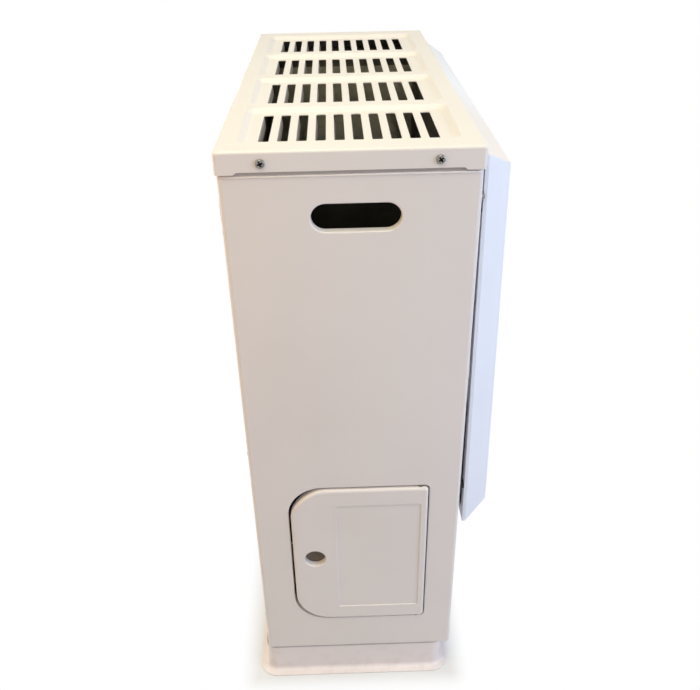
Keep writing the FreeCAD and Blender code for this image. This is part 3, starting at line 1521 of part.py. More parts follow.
def make_glass_frame():
    """A pressed frame that clamps the firebox glass to the wall."""
    body = new_body("firebox_glass_frame")
    middle = window_z

    def outline(y, grow):
        sketch = facing_front(body, y)
        reach = f"(window_width / 2 + ({grow}))"
        rounded(sketch, f"-1 * {reach}", reach, f"{middle} - window_height / 2 - ({grow})",
                f"{middle} + window_height / 2 + ({grow})", "window_corner")
        return sketch

    over = "(glass_thickness + seam_gap)"
    pad(body, outline(firebox_front, "glass_margin + 2 * firebox_wall"), f"{over} + firebox_wall")
    pocket(body, outline(firebox_front, "glass_margin + seam_gap"), over, back=True)
    pocket(body, outline(f"{firebox_front} - 2 * {over}", "0"), f"2 * {over}")
    return body


def make_firebox_legs():
    """Four folded posts from the base plate to a ledge under the firebox walls."""
    legs = []
    ends = ((f"{firebox_left} - leg_clear", 1), (f"{firebox_right} + leg_clear", -1))
    for x, way in ends:
        for y in (f"({firebox_front})", f"({firebox_rear} - leg_width)"):
            body = new_body(f"firebox_leg_{len(legs) + 1}")
            sketch = facing_front(body, f"({y} + leg_width)")
            wall = f"(({x}) + {way} * firebox_wall)"
            end = f"(({x}) + {way} * leg_ledge)"
            polygon(sketch, [
                (x, base_top), (end, base_top), (end, f"{base_top} + firebox_wall"),
                (wall, f"{base_top} + firebox_wall"), (wall, f"{firebox_low} - firebox_wall"),
                (end, f"{firebox_low} - firebox_wall"), (end, firebox_low), (x, firebox_low),
            ])
            pad(body, sketch, "leg_width")
            legs.append(body)
    return group("firebox_legs", legs)


def make_flue_baffle():
    """A shelf on the front wall that turns the flames back before the flue."""
    body = new_body("flue_baffle")
    sketch = facing_side(body, f"({firebox_left} + {firebox_right} - baffle_length) / 2")
    front = f"({firebox_front} + firebox_wall)"
    tip = f"({front} + baffle_reach)"
    level = baffle_z
    polygon(sketch, [
        (front, f"{level} + baffle_lip"), (front, level), (f"{tip} - firebox_wall", level),
        (f"{tip} - firebox_wall", f"{level} - baffle_lip"), (tip, f"{level} - baffle_lip"),
        (tip, f"{level} + firebox_wall"), (f"{front} + firebox_wall", f"{level} + firebox_wall"),
        (f"{front} + firebox_wall", f"{level} + baffle_lip"),
    ])
    pad(body, sketch, "baffle_length")
    return body


def make_flue_spigot():
    """The flue's tube from the firebox, with a flange outside the rear panel and a stub for the pipe."""
    body = new_body("flue_spigot")
    sketch = on_level(body, flue_z)
    bore = "(flue_radius - flue_wall)"
    seat = f"({rear_plate} + sheet + gasket_thickness)"
    end = f"({rear_face} + flue_reach)"
    polygon(sketch, [
        (bore, firebox_rear), ("flue_radius", firebox_rear), ("flue_radius", seat), ("flue_flange", seat),
        ("flue_flange", f"{seat} + gasket_thickness"), ("flue_radius", f"{seat} + gasket_thickness"),
        ("flue_radius", end), (bore, end),
    ])
    revolve(body, sketch, "V_Axis")
    return body


def make_flue_gasket():
    body = new_body("flue_gasket")
    ring = facing_front(body, f"({rear_plate} + sheet + gasket_thickness)")
    circle(ring, "0", flue_z, "flue_flange - gasket_inset")
    circle(ring, "0", flue_z, "flue_radius + seam_gap")
    pad(body, ring, "gasket_thickness")
    return body


keep(make_plinth())
keep(make_base_plate())
keep(make_side_panel("left_side_panel", -1))
keep(make_side_panel("right_side_panel", 1))
keep(make_casing_front())
keep(make_front_stiles())
keep(make_front_grille())
keep(make_rear_panel())
keep(make_top_cover())
keep(make_cover_rail("left_cover_rail", -1))
keep(make_cover_rail("right_cover_rail", 1))
half_spread = "skirt_screw_spread / 2"
for name, side, way in (("left_cover_screws", -1, "+X"), ("right_cover_screws", 1, "-X")):
    seats = [(f"{side} * {skirt_outer}", f"{end} * {half_spread}", skirt_screw_level) for end in (-1, 1)]
    keep(make_screws(name, seats, way))
keep(make_screws("front_return_screws",
                 [(f"{side} * {return_x}", front_face, front_screw_z) for side in (-1, 1)], "+Y"))
keep(make_screws("rear_panel_screws",
                 [(f"{side} * {return_x}", rear_face, f"{rear_screw_middle} + {step} * rear_screw_pitch")
                  for side in (-1, 1) for step in (-1, 0, 1)], "-Y", "rear_head_height"))
keep(make_front_panel())
keep(make_front_spacers())
keep(make_window_bezel())
keep(make_window_glass())
keep(make_window_clips())
keep(make_access_door())
keep(make_hinge_pins())
keep(make_door_catch())
keep(make_door_magnet())
keep(make_heat_shield())
keep(make_right_heat_shield())
keep(make_control_bracket())
keep(make_gas_valve())
keep(cylinder("valve_push_pin", "spindle_radius", "push_pin_length", f"{spindle_inner} + seam_gap",
              hearth_y, knob_z, "+X"))
keep(cylinder("valve_spindle", "spindle_radius", "spindle_length", spindle_outer, hearth_y, knob_z, "+X"))
keep(make_knob())
keep(make_igniter_body())
keep(make_igniter_button())
keep(make_inlet_nipple())
keep(route("gas_inlet_pipe", [
    (valve_middle, hearth_y, f"{valve_low} - boss_length"),
    (valve_middle, hearth_y, inlet_z),
    (valve_middle, f"{rear_plate} - inlet_tail", inlet_z),
], value("supply_radius"), value("supply_bend")))
keep(route("burner_supply_pipe", [
    (valve_middle, hearth_y, f"{valve_high} + boss_length"),
    (valve_middle, hearth_y, burner_z),
    (f"{shield_x} - injector_tail", hearth_y, burner_z),
], value("burner_pipe_radius"), value("burner_pipe_bend")))
keep(make_injector())
keep(make_burner())
keep(make_burner_straps())
keep(make_pilot_burner())
port_face = f"({hearth_y} - valve_width / 2 - boss_length)"
keep(route("pilot_pipe", [
    (pilot_x, pilot_y, f"{pilot_plate} - pilot_tail"),
    (pilot_x, pilot_y, pilot_run),
    (valve_middle, pilot_y, pilot_run),
    (valve_middle, port_face, pilot_run),
], value("pilot_pipe_radius"), value("pilot_pipe_bend")))
keep(make_thermocouple())
keep(route("thermocouple_lead", [
    (probe_x, pilot_y, f"{pilot_plate} - probe_tail"),
    (probe_x, pilot_y, probe_run),
    (valve_middle, pilot_y, probe_run),
    (valve_middle, port_face, probe_run),
], value("lead_radius"), value("pilot_pipe_bend")))
keep(make_electrode())
keep(route("ignition_lead", [
    (f"{bracket_x} + igniter_length", igniter_y, igniter_z),
    (spark_x, igniter_y, igniter_z),
    (spark_x, igniter_y, f"{pilot_plate} - electrode_tail"),
], value("lead_radius"), value("supply_bend")))
keep(make_firebox())
keep(make_firebox_legs())
keep(make_firebox_glass())
keep(make_glass_frame())
keep(make_flue_baffle())
keep(make_flue_spigot())
keep(make_flue_gasket())

doc.recompute()
for thing in doc.Objects:
    if "Invalid" in thing.State or "Error" in thing.State:
        raise RuntimeError(f"{thing.Label} failed: {thing.State}")
    if thing.TypeId == "PartDesign::Pocket" and thing.BaseFeature:
        if thing.Shape.Volume > thing.BaseFeature.Shape.Volume - 1e-3:
            raise RuntimeError(f"{thing.Label} cuts nothing")
for node in nodes:
    if node.Shape.isNull() or not node.Shape.isValid() or not node.Shape.Solids:
        raise RuntimeError(f"{node.Label} has no valid solid")

os.makedirs("parts", exist_ok=True)
for node in nodes:
    node.Shape.exportStep(f"parts/{node.Label}.step")
    print(f"{node.Label}: {len(node.Shape.Solids)} solid(s), {len(node.Shape.Faces)} faces")
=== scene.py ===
import bpy
import bmesh
import json
import math
from mathutils import Matrix, Vector


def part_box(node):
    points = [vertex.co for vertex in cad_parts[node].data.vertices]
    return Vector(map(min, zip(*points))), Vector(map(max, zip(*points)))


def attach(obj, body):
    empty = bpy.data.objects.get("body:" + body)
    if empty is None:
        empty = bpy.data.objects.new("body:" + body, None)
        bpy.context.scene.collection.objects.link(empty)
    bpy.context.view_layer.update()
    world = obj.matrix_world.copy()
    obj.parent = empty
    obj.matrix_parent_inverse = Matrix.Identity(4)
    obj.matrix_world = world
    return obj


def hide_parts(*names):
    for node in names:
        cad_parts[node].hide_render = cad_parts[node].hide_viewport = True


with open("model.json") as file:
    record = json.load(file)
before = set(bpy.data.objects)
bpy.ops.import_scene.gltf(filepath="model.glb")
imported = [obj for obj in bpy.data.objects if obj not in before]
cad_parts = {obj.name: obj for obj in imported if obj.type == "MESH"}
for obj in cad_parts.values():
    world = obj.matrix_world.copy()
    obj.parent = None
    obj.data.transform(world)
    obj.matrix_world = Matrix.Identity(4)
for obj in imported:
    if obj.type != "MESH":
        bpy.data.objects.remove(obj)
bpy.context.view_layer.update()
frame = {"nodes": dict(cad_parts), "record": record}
nodes = frame["nodes"]
print("heater frame loaded:", len(nodes), "nodes")


# shader arithmetic
class Wire:
    def __init__(self, finish, socket):
        self.finish = finish
        self.socket = socket

    def __add__(self, other):
        return self.finish.math("ADD", self, other)

    def __radd__(self, other):
        return self.finish.math("ADD", other, self)

    def __sub__(self, other):
        return self.finish.math("SUBTRACT", self, other)

    def __mul__(self, other):
        return self.finish.math("MULTIPLY", self, other)

    def __pow__(self, other):
        return self.finish.math("POWER", self, other)

    def __abs__(self):
        return self.finish.math("ABSOLUTE", self, 0.0)


class Finish:
    def __init__(self, name):
        self.material = bpy.data.materials.new(name)
        self.material.use_nodes = True
        self.tree = self.material.node_tree
        self.shader = self.tree.nodes["Principled BSDF"]
        self.place = self.node("ShaderNodeTexCoord", out="Object")

    def feed(self, socket, value):
        if isinstance(value, Wire):
            self.tree.links.new(value.socket, socket)
        else:
            socket.default_value = value

    # settings first, then sockets; "stops" are a ramp's places and colours
    def node(self, kind, settings=None, sockets=None, out=0):
        made = self.tree.nodes.new(kind)
        for name, value in (settings or {}).items():
            if name == "stops":
                ramp = made.color_ramp
                while len(ramp.elements) < len(value):
                    ramp.elements.new(1.0)
                for element, (at, colour) in zip(ramp.elements, value):
                    element.position = at
                    element.color = colour
            else:
                setattr(made, name, value)
        for name, value in (sockets or {}).items():
            self.feed(made.inputs[name], value)
        return Wire(self, made.outputs[out])

    def math(self, operation, a, b):
        return self.node("ShaderNodeMath", {"operation": operation}, {0: a, 1: b})

    def greater(self, a, b):
        return self.math("MAXIMUM", a, b)

    def axis(self, letter):
        return self.node("ShaderNodeSeparateXYZ", None, {0: self.place}, out=letter)

    def facing(self, letter):
        normal = self.node("ShaderNodeNewGeometry", out="Normal")
        return self.node("ShaderNodeSeparateXYZ", None, {0: normal}, out=letter)

    def ray(self, kind):
        return self.node("ShaderNodeLightPath", out=kind)

    def stretched(self, scale):
        return self.node("ShaderNodeMapping", None, {"Vector": self.place, "Scale": scale})

    def noise(self, scale, detail=2.0, rough=0.5, vector=None):
        return self.node("ShaderNodeTexNoise", None, {"Vector": vector or self.place, "Scale": scale,
                                                      "Detail": detail, "Roughness": rough})

    def cells(self, scale):
        return self.node("ShaderNodeTexVoronoi", None, {"Vector": self.place, "Scale": scale}, out="Color")

    def step(self, value, low, high):
        return self.node("ShaderNodeMapRange", {"interpolation_type": "SMOOTHSTEP"},
                         {"Value": value, "From Min": low, "From Max": high})

    def mixed(self, a, b, amount):
        return self.node("ShaderNodeMix", {"data_type": "RGBA"}, {0: amount, 6: a, 7: b}, out=2)

    def bump(self, height, distance, strength, under=None):
        sockets = {"Height": height, "Distance": distance, "Strength": strength}
        if under:
            sockets["Normal"] = under
        return self.node("ShaderNodeBump", None, sockets)

    def done(self, **sockets):
        for name, value in sockets.items():
            self.feed(self.shader.inputs[name], value)
        return self.material


def rgb(r, g, b):
    return (r, g, b, 1.0)


# sprayed and baked paint: peel, slow waves of the sheet, faint clouding, handling marks
paint = {
    "ivory": rgb(0.800, 0.748, 0.735),
    "ivoryDeep": rgb(0.772, 0.718, 0.702),
    # the front colours are pale paint with a blue cast that is painted light
    "front": rgb(0.818, 0.836, 0.915),
    "frontDeepCoolCast": rgb(0.792, 0.811, 0.887),
    # the next colour is painted shade with a warm cast, for faces turned up
    "frontUpShade": rgb(0.745, 0.685, 0.670),
    "plinth": rgb(0.865, 0.805, 0.800),
    "plinthDeep": rgb(0.825, 0.762, 0.755),
    # rail colours: the dark pair is painted shade, the pale pair painted light, in the gap under the skirt
    "rail": rgb(0.200, 0.185, 0.170),
    "railDeep": rgb(0.120, 0.110, 0.100),
    "railPale": rgb(0.440, 0.400, 0.380),
    "railPaleDeep": rgb(0.380, 0.345, 0.325),
    # the next colour is painted shade on the faces inside the casing
    "inner": rgb(0.190, 0.170, 0.130),
    "dust": rgb(0.430, 0.380, 0.330),
    # the next colour is painted shade, used in the band under the casing's edge and in screw recesses
    "grime": rgb(0.110, 0.092, 0.080),
    # the next colour is painted shade, in screw recesses and on the firebox's end walls
    "paintedShadeDeep": rgb(0.012, 0.011, 0.010),
    "cloud": {"scale": 4.0, "detail": 3.0, "rough": 0.55},
    "cloudSpan": (0.35, 0.70),
    "grain": {"scale": 55.0, "detail": 3.0, "rough": 0.6},
    "scuff": {"scale": 38.0, "detail": 4.0, "rough": 0.7},
    "scuffStretch": (1.0, 1.0, 0.35),
    "scuffSpan": (0.70, 0.80),
    "scuffDust": 0.10,
    "lowSpan": (0.10, 0.0),
    "lowGrain": (0.45, 0.75),
    "lowDust": 0.14,
    "seam": 0.0058,
    "seamFull": 0.6,
    "seamShadeStrength": 0.30,
    "seamGrain": 0.40,
    "upperSpan": (0.2, 0.5),
    "leftSpan": (0.05, -0.22),
    "middleHeight": 0.40,
    "innerSpan": (-0.05, -0.15),
    "rough": {"base": 0.36, "cloud": 0.10, "grain": 0.06, "scuff": 0.10, "inner": 0.2},
    "wave": {"scale": 6.5, "detail": 1.0, "rough": 0.4},
    "waveBump": {"distance": 0.0035, "strength": 0.35},
    "peel": {"scale": 900.0, "detail": 2.0, "rough": 0.5},
    "peelBump": {"distance": 0.00006, "strength": 0.8},
    "gloss": {"Coat Weight": 0.12, "Coat Roughness": 0.22, "Specular IOR Level": 0.42},
}


def paintFinish(name, colour, deep, inner=None, seam=None, upper=None):
    f = Finish(name)
    cloud = f.noise(**paint["cloud"])
    grain = f.noise(**paint["grain"])
    scuff = f.noise(**paint["scuff"], vector=f.stretched(paint["scuffStretch"]))
    marks = f.step(scuff, *paint["scuffSpan"])
    low = f.step(f.axis("Z"), *paint["lowSpan"])
    base = f.mixed(colour, deep, f.step(cloud, *paint["cloudSpan"]))
    settled = low * f.step(grain, *paint["lowGrain"])
    base = f.mixed(base, paint["dust"], marks * paint["scuffDust"] + settled * paint["lowDust"])
    if seam:    # painted shade in a band under the casing's lower edge
        shadeStrength = paint["seamShadeStrength"] + grain * paint["seamGrain"]
        base = f.mixed(base, paint["grime"], f.step(f.axis("Z"), *seam) * shadeStrength)
    if upper:   # faces turned up get a darker, warmer colour towards the left end: painted shade
        upShaded = f.step(f.facing("Z"), *paint["upperSpan"]) * f.step(f.axis("X"), *paint["leftSpan"])
        base = f.mixed(base, upper, upShaded)
    share = paint["rough"]
    rough = share["base"] + cloud * share["cloud"] + grain * share["grain"] + marks * share["scuff"]
    if inner:   # the side towards the firebox gets a darker colour and rougher paint: painted shade inside the casing
        side = f.axis(inner) - (paint["middleHeight"] if inner == "Z" else 0.0)
        inside = f.step(f.facing(inner) * side, *paint["innerSpan"])
        base = f.mixed(base, paint["inner"], inside)
        rough = rough + inside * share["inner"]
    wave = f.bump(f.noise(**paint["wave"]), **paint["waveBump"])
    peel = f.bump(f.noise(**paint["peel"]), **paint["peelBump"], under=wave)
    return f.done(**paint["gloss"], **{"Base Color": base, "Roughness": rough, "Normal": peel})


# zinc-dipped sheet with its spangle
zinc = {
    "spangle": 120.0,
    "bloom": {"scale": 14.0, "detail": 4.0, "rough": 0.6},
    "dulling": {"scale": 160.0, "detail": 3.0},
    "pits": {"scale": 500.0, "detail": 2.0},
    "colourShare": {"flake": 0.65, "bloom": 0.35},
    "roughShare": {"flake": 0.18, "dulling": 0.12},
    "pitShare": 0.4,
    "bump": {"distance": 0.00012, "strength": 0.5},
    "looks": {
        "bright": {"pale": rgb(0.60, 0.61, 0.62), "dark": rgb(0.36, 0.37, 0.385), "rough": 0.34,
                   "metallic": 1.0},
        # the pale dull look is painted light
        "paleLit": {"pale": rgb(0.46, 0.42, 0.345), "dark": rgb(0.33, 0.30, 0.24), "rough": 0.56,
                       "metallic": 0.0},
        # the near-black look is painted shade
        "shadeBlack": {"pale": rgb(0.014, 0.013, 0.012), "dark": rgb(0.007, 0.007, 0.006), "rough": 0.72,
                   "metallic": 0.0},
        "browned": {"pale": rgb(0.175, 0.138, 0.104), "dark": rgb(0.120, 0.092, 0.068), "rough": 0.60,
                    "metallic": 0.0},
    },
}


def zincFinish(name, kind):
    look = zinc["looks"][kind]
    f = Finish(name)
    flake = f.node("ShaderNodeSeparateColor", None, {0: f.cells(zinc["spangle"])})
    bloom = f.noise(**zinc["bloom"])
    dulling = f.noise(**zinc["dulling"])
    pits = f.noise(**zinc["pits"])
    share = zinc["colourShare"]
    base = f.mixed(look["dark"], look["pale"], flake * share["flake"] + bloom * share["bloom"])
    share = zinc["roughShare"]
    rough = look["rough"] + flake * share["flake"] + dulling * share["dulling"]
    normal = f.bump(flake + pits * zinc["pitShare"], **zinc["bump"])
    return f.done(**{"Base Color": base, "Roughness": rough, "Metallic": look["metallic"], "Normal": normal})


# plain metals: brushing or casting grain along one axis, tarnish in patches
metal = {
    "brush": {"scale": 1.0, "detail": 3.0, "rough": 0.6},
    "tarnish": {"scale": 45.0, "detail": 4.0, "rough": 0.62},
    "tarnishSpan": (0.42, 0.70),
    "colourShare": {"tarnish": 0.55, "brush": 0.25},
    "roughShare": {"base": 0.75, "tarnish": 0.16, "brush": 0.16},
    # the next two set the painted shade and roughness in the screws' cross recesses
    "recessShadeSpan": (0.1, 0.7),
    "recessRough": 0.4,
    "bump": {"distance": 0.00005, "strength": 0.5},
    "looks": {
        "screw_steel": {"pale": rgb(0.27, 0.255, 0.24), "dark": rgb(0.075, 0.070, 0.066), "rough": 0.24,
                        "grain": (300, 300, 40)},
        "bezel_chrome": {"pale": rgb(0.80, 0.80, 0.81), "dark": rgb(0.62, 0.62, 0.63), "rough": 0.10,
                         "grain": (20, 300, 300)},
        "valve_casting": {"pale": rgb(0.60, 0.61, 0.62), "dark": rgb(0.42, 0.42, 0.43), "rough": 0.48,
                          "grain": (420, 420, 420)},
        "brass": {"pale": rgb(0.78, 0.58, 0.25), "dark": rgb(0.46, 0.30, 0.12), "rough": 0.26,
                  "grain": (40, 320, 320)},
        "copper": {"pale": rgb(0.76, 0.43, 0.28), "dark": rgb(0.40, 0.20, 0.13), "rough": 0.30,
                   "grain": (60, 300, 300)},
        "pipe_steel": {"pale": rgb(0.66, 0.67, 0.68), "dark": rgb(0.45, 0.46, 0.47), "rough": 0.32,
                       "grain": (90, 90, 90)},
        "flue_steel": {"pale": rgb(0.64, 0.65, 0.65), "dark": rgb(0.43, 0.43, 0.44), "rough": 0.42,
                       "grain": (60, 240, 60)},
    },
}


def metalFinish(name):
    look = metal["looks"][name]
    f = Finish(name)
    brush = f.noise(**metal["brush"], vector=f.stretched(look["grain"]))
    tarnish = f.step(f.noise(**metal["tarnish"]), *metal["tarnishSpan"])
    share = metal["colourShare"]
    base = f.mixed(look["pale"], look["dark"], tarnish * share["tarnish"] + brush * share["brush"])
    share = metal["roughShare"]
    rough = look["rough"] * share["base"] + tarnish * share["tarnish"] + brush * share["brush"]
    if name == "screw_steel":   # painted shade in the cross, darker where the recess is deeper
        recessShade = f.node("ShaderNodeAttribute", {"attribute_name": "grime"}, out="Fac")
        base = f.mixed(base, paint["paintedShadeDeep"], f.step(recessShade, *metal["recessShadeSpan"]))
        rough = rough + recessShade * metal["recessRough"]
    normal = f.bump(brush, **metal["bump"])
    return f.done(**{"Base Color": base, "Roughness": rough, "Metallic": 1.0, "Normal": normal})


# stainless that has been in the flame: straw, bronze and blue
tint = {
    "band": {"scale": 16.0, "detail": 3.0, "rough": 0.55},
    "ripple": {"scale": 70.0, "detail": 2.0},
    "rippleShare": 0.25,
    "stops": [(0.30, rgb(0.42, 0.40, 0.38)), (0.48, rgb(0.50, 0.38, 0.22)), (0.62, rgb(0.34, 0.20, 0.16)),
              (0.74, rgb(0.20, 0.20, 0.28)), (0.90, rgb(0.30, 0.29, 0.28))],
    "grain": (30, 260, 260),
    "rough": 0.30,
    "roughBrush": 0.22,
}


def heatTintFinish(name):
    f = Finish(name)
    band = f.noise(**tint["band"]) + f.noise(**tint["ripple"]) * tint["rippleShare"]
    base = f.node("ShaderNodeValToRGB", {"stops": tint["stops"]}, {"Fac": band})
    brush = f.noise(**metal["brush"], vector=f.stretched(tint["grain"]))
    return f.done(**{"Base Color": base, "Roughness": tint["rough"] + brush * tint["roughBrush"],
                     "Metallic": 1.0, "Normal": f.bump(brush, **metal["bump"])})


# moulded, fired and pressed finishes: grain depth and speckle
matt = {
    "grain": {"detail": 3.0, "rough": 0.6},
    "patch": {"scale": 26.0, "detail": 4.0, "rough": 0.6},
    "patchSpan": (0.36, 0.72),
    "colourShare": {"patch": 0.6, "grain": 0.4},
    "roughShare": {"base": 0.85, "grain": 0.14, "patch": 0.08},
    # the next three set painted shade on the firebox's end walls
    "endWallShadeSpan": (0.5, 0.8),
    "endWallShade": 0.86,
    "endWallShadePatch": 0.12,
    "strength": 0.7,
    "looks": {
        "knob_plastic": {"pale": rgb(0.030, 0.030, 0.032), "dark": rgb(0.014, 0.014, 0.015), "rough": 0.38,
                         "scale": 900, "depth": 0.00005},
        "button_plastic": {"pale": rgb(0.520, 0.030, 0.022), "dark": rgb(0.340, 0.016, 0.014), "rough": 0.26,
                           "scale": 700, "depth": 0.00003},
        "buffer_rubber": {"pale": rgb(0.034, 0.033, 0.032), "dark": rgb(0.016, 0.016, 0.016), "rough": 0.74,
                          "scale": 500, "depth": 0.00010},
        "magnet": {"pale": rgb(0.050, 0.050, 0.054), "dark": rgb(0.024, 0.024, 0.026), "rough": 0.58,
                   "scale": 800, "depth": 0.00008},
        "electrode_ceramic": {"pale": rgb(0.800, 0.770, 0.710), "dark": rgb(0.560, 0.500, 0.430),
                              "rough": 0.18, "scale": 260, "depth": 0.00004},
        "lead_sleeve": {"pale": rgb(0.360, 0.050, 0.030), "dark": rgb(0.210, 0.028, 0.020), "rough": 0.52,
                        "scale": 600, "depth": 0.00005},
        "firebox_enamel": {"pale": rgb(0.170, 0.150, 0.115), "dark": rgb(0.100, 0.088, 0.065), "rough": 0.68,
                           "scale": 420, "depth": 0.00012},
        "gasket": {"pale": rgb(0.660, 0.630, 0.560), "dark": rgb(0.420, 0.390, 0.340), "rough": 0.90,
                   "scale": 330, "depth": 0.00030},
    },
}


def mattFinish(name):
    look = matt["looks"][name]
    f = Finish(name)
    grain = f.noise(look["scale"], **matt["grain"])
    patch = f.step(f.noise(**matt["patch"]), *matt["patchSpan"])
    share = matt["colourShare"]
    base = f.mixed(look["pale"], look["dark"], patch * share["patch"] + grain * share["grain"])
    share = matt["roughShare"]
    rough = look["rough"] * share["base"] + grain * share["grain"] + patch * share["patch"]
    if name == "firebox_enamel":    # painted shade, near black, on its end walls
        endwise = f.step(abs(f.facing("X")), *matt["endWallShadeSpan"])
        base = f.mixed(base, paint["paintedShadeDeep"], endwise * (matt["endWallShade"] + patch * matt["endWallShadePatch"]))
    normal = f.bump(grain, look["depth"], matt["strength"])
    return f.done(**{"Base Color": base, "Roughness": rough, "Normal": normal})


# heat-resisting glass with a breath of smoke on it
glass = {
    "clear": rgb(0.62, 0.60, 0.56),
    "smoked": rgb(0.36, 0.31, 0.26),
    "smoke": {"scale": 11.0, "detail": 4.0, "rough": 0.6},
    "smokeSpan": (0.40, 0.75),
    "rough": 0.03,
    "roughSmoke": 0.10,
    "ripple": {"scale": 9.0, "detail": 1.0},
    "bump": {"distance": 0.0006, "strength": 0.3},
    "body": {"Transmission Weight": 0.85, "IOR": 1.47},
}


def glassFinish(name):
    f = Finish(name)
    smoke = f.step(f.noise(**glass["smoke"]), *glass["smokeSpan"])
    base = f.mixed(glass["clear"], glass["smoked"], smoke)
    normal = f.bump(f.noise(**glass["ripple"]), **glass["bump"])
    rough = glass["rough"] + smoke * glass["roughSmoke"]
    return f.done(**glass["body"], **{"Base Color": base, "Roughness": rough, "Normal": normal})


# printed marks, a little worn
mark = {
    "white": rgb(0.80, 0.79, 0.76),
    "black": rgb(0.030, 0.030, 0.032),
    "dulled": 0.72,
    "wear": {"scale": 420.0, "detail": 4.0, "rough": 0.7},
    "wearSpan": (0.45, 0.75),
    "rough": 0.45,
    "roughWear": 0.2,
    "bump": {"distance": 0.00003, "strength": 0.5},
}


def markFinish(name, colour):
    f = Finish(name)
    worn = f.step(f.noise(**mark["wear"]), *mark["wearSpan"])
    dull = rgb(*(c * mark["dulled"] for c in colour[:3]))
    base = f.mixed(colour, dull, worn)
    rough = mark["rough"] + worn * mark["roughWear"]
    return f.done(**{"Base Color": base, "Roughness": rough, "Normal": f.bump(worn, **mark["bump"])})


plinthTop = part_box("plinth")[1].z
# the band at the plinth's top edge that gets painted shade
plinthSeamShade = (plinthTop - paint["seam"], plinthTop - paint["seamFull"] * paint["seam"])
sidePaint = paintFinish("ivorySides", paint["ivory"], paint["ivoryDeep"], "X")
coverPaint = paintFinish("ivoryCover", paint["ivory"], paint["ivoryDeep"], "Z")
platePaint = paintFinish("ivoryPlate", paint["ivory"], paint["ivoryDeep"], "Y")
# the right cover rail's dark paint is painted shade, and the left rail's pale paint painted light, in the gap
# under the skirt
shadedRailPaint = paintFinish("railPaintedShade", paint["rail"], paint["railDeep"])
litRailPaint = paintFinish("railPaintedLight", paint["railPale"], paint["railPaleDeep"])
doorPaint = paintFinish("ivoryDoor", paint["ivory"], paint["ivoryDeep"])
finishes = {
    "casing_paint": doorPaint,
    "front_paint": paintFinish("paleFrontCoolCast", paint["front"], paint["frontDeepCoolCast"], upper=paint["frontUpShade"]),
    "plinth_paint": paintFinish("ivoryPlinth", paint["plinth"], paint["plinthDeep"], seam=plinthSeamShade),
    "galvanised": zincFinish("spangledZinc", "bright"),
    "burner_steel": heatTintFinish("heatTintedSteel"),
    "window_glass": glassFinish("smokedGlass"),
}
for slotName in metal["looks"]:
    finishes[slotName] = metalFinish(slotName)
for slotName in matt["looks"]:
    finishes[slotName] = mattFinish(slotName)
ownFinish = {
    "left_side_panel": sidePaint,
    "right_side_panel": sidePaint,
    "top_cover": coverPaint,
    "casing_front": platePaint,
    "front_grille": platePaint,
    "front_stiles": platePaint,
    "left_cover_rail": litRailPaint,
    "right_cover_rail": shadedRailPaint,
    # the left heat shield's near-black zinc is painted shade
    "heat_shield": zincFinish("shadeBlackZinc", "shadeBlack"),
    # the right heat shield's pale dull zinc is painted light, seen through the top slots
    "right_heat_shield": zincFinish("paleLitZinc", "paleLit"),
}
for part in frame["record"]["subparts"]:
    piece = nodes[part["node"]]
    finish = ownFinish.get(part["node"], finishes[part["material_slot"]])
    if not piece.material_slots:
        piece.data.materials.append(finish)
    for materialSlot in piece.material_slots:
        materialSlot.material = finish
print("finishes made:", len(bpy.data.materials))


# camera from the photograph's view
view = {
    "place": (-1.0726, 0.0151, 1.0413), "pitch": 31.556, "yaw": -0.833, "roll": -1.197,
    "lens": 39.526, "sensor": 36.0, "near": 0.02,
}
pitch, yaw, roll = (math.radians(view[k]) for k in ("pitch", "yaw", "roll"))
ahead = Vector((math.cos(yaw) * math.cos(pitch), math.sin(yaw) * math.cos(pitch), -math.sin(pitch)))
right = ahead.cross(Vector((0, 0, 1))).normalized()
up = right.cross(ahead)
across = right * math.cos(roll) + up * math.sin(roll)
upright = up * math.cos(roll) - right * math.sin(roll)
cameraData = bpy.data.cameras.new("photoCamera")
cameraData.lens = view["lens"]
cameraData.sensor_width = view["sensor"]
cameraData.clip_start = view["near"]
camera = bpy.data.objects.new("photoCamera", cameraData)
turn = Matrix((across, upright, -ahead)).transposed().to_4x4()
camera.matrix_world = Matrix.Translation(view["place"]) @ turn
bpy.context.scene.collection.objects.link(camera)
bpy.context.scene.camera = camera
print("camera placed")


# points nearer than this are merged
weld = 1e-7


def newPiece(name, mesh, finish):
    mesh.materials.clear()
    mesh.materials.append(finish)
    piece = bpy.data.objects.new(name, mesh)
    bpy.context.scene.collection.objects.link(piece)
    return piece


def meshFrom(name, build, **sizes):
    shape = bmesh.new()
    build(shape, **sizes)
    bmesh.ops.remove_doubles(shape, verts=shape.verts, dist=weld)
    bmesh.ops.recalc_face_normals(shape, faces=shape.faces)
    mesh = bpy.data.meshes.new(name)
    shape.to_mesh(mesh)
    shape.free()
    return mesh


def evaluatedMesh(maker):
    return bpy.data.meshes.new_from_object(maker.evaluated_get(bpy.context.evaluated_depsgraph_get()))


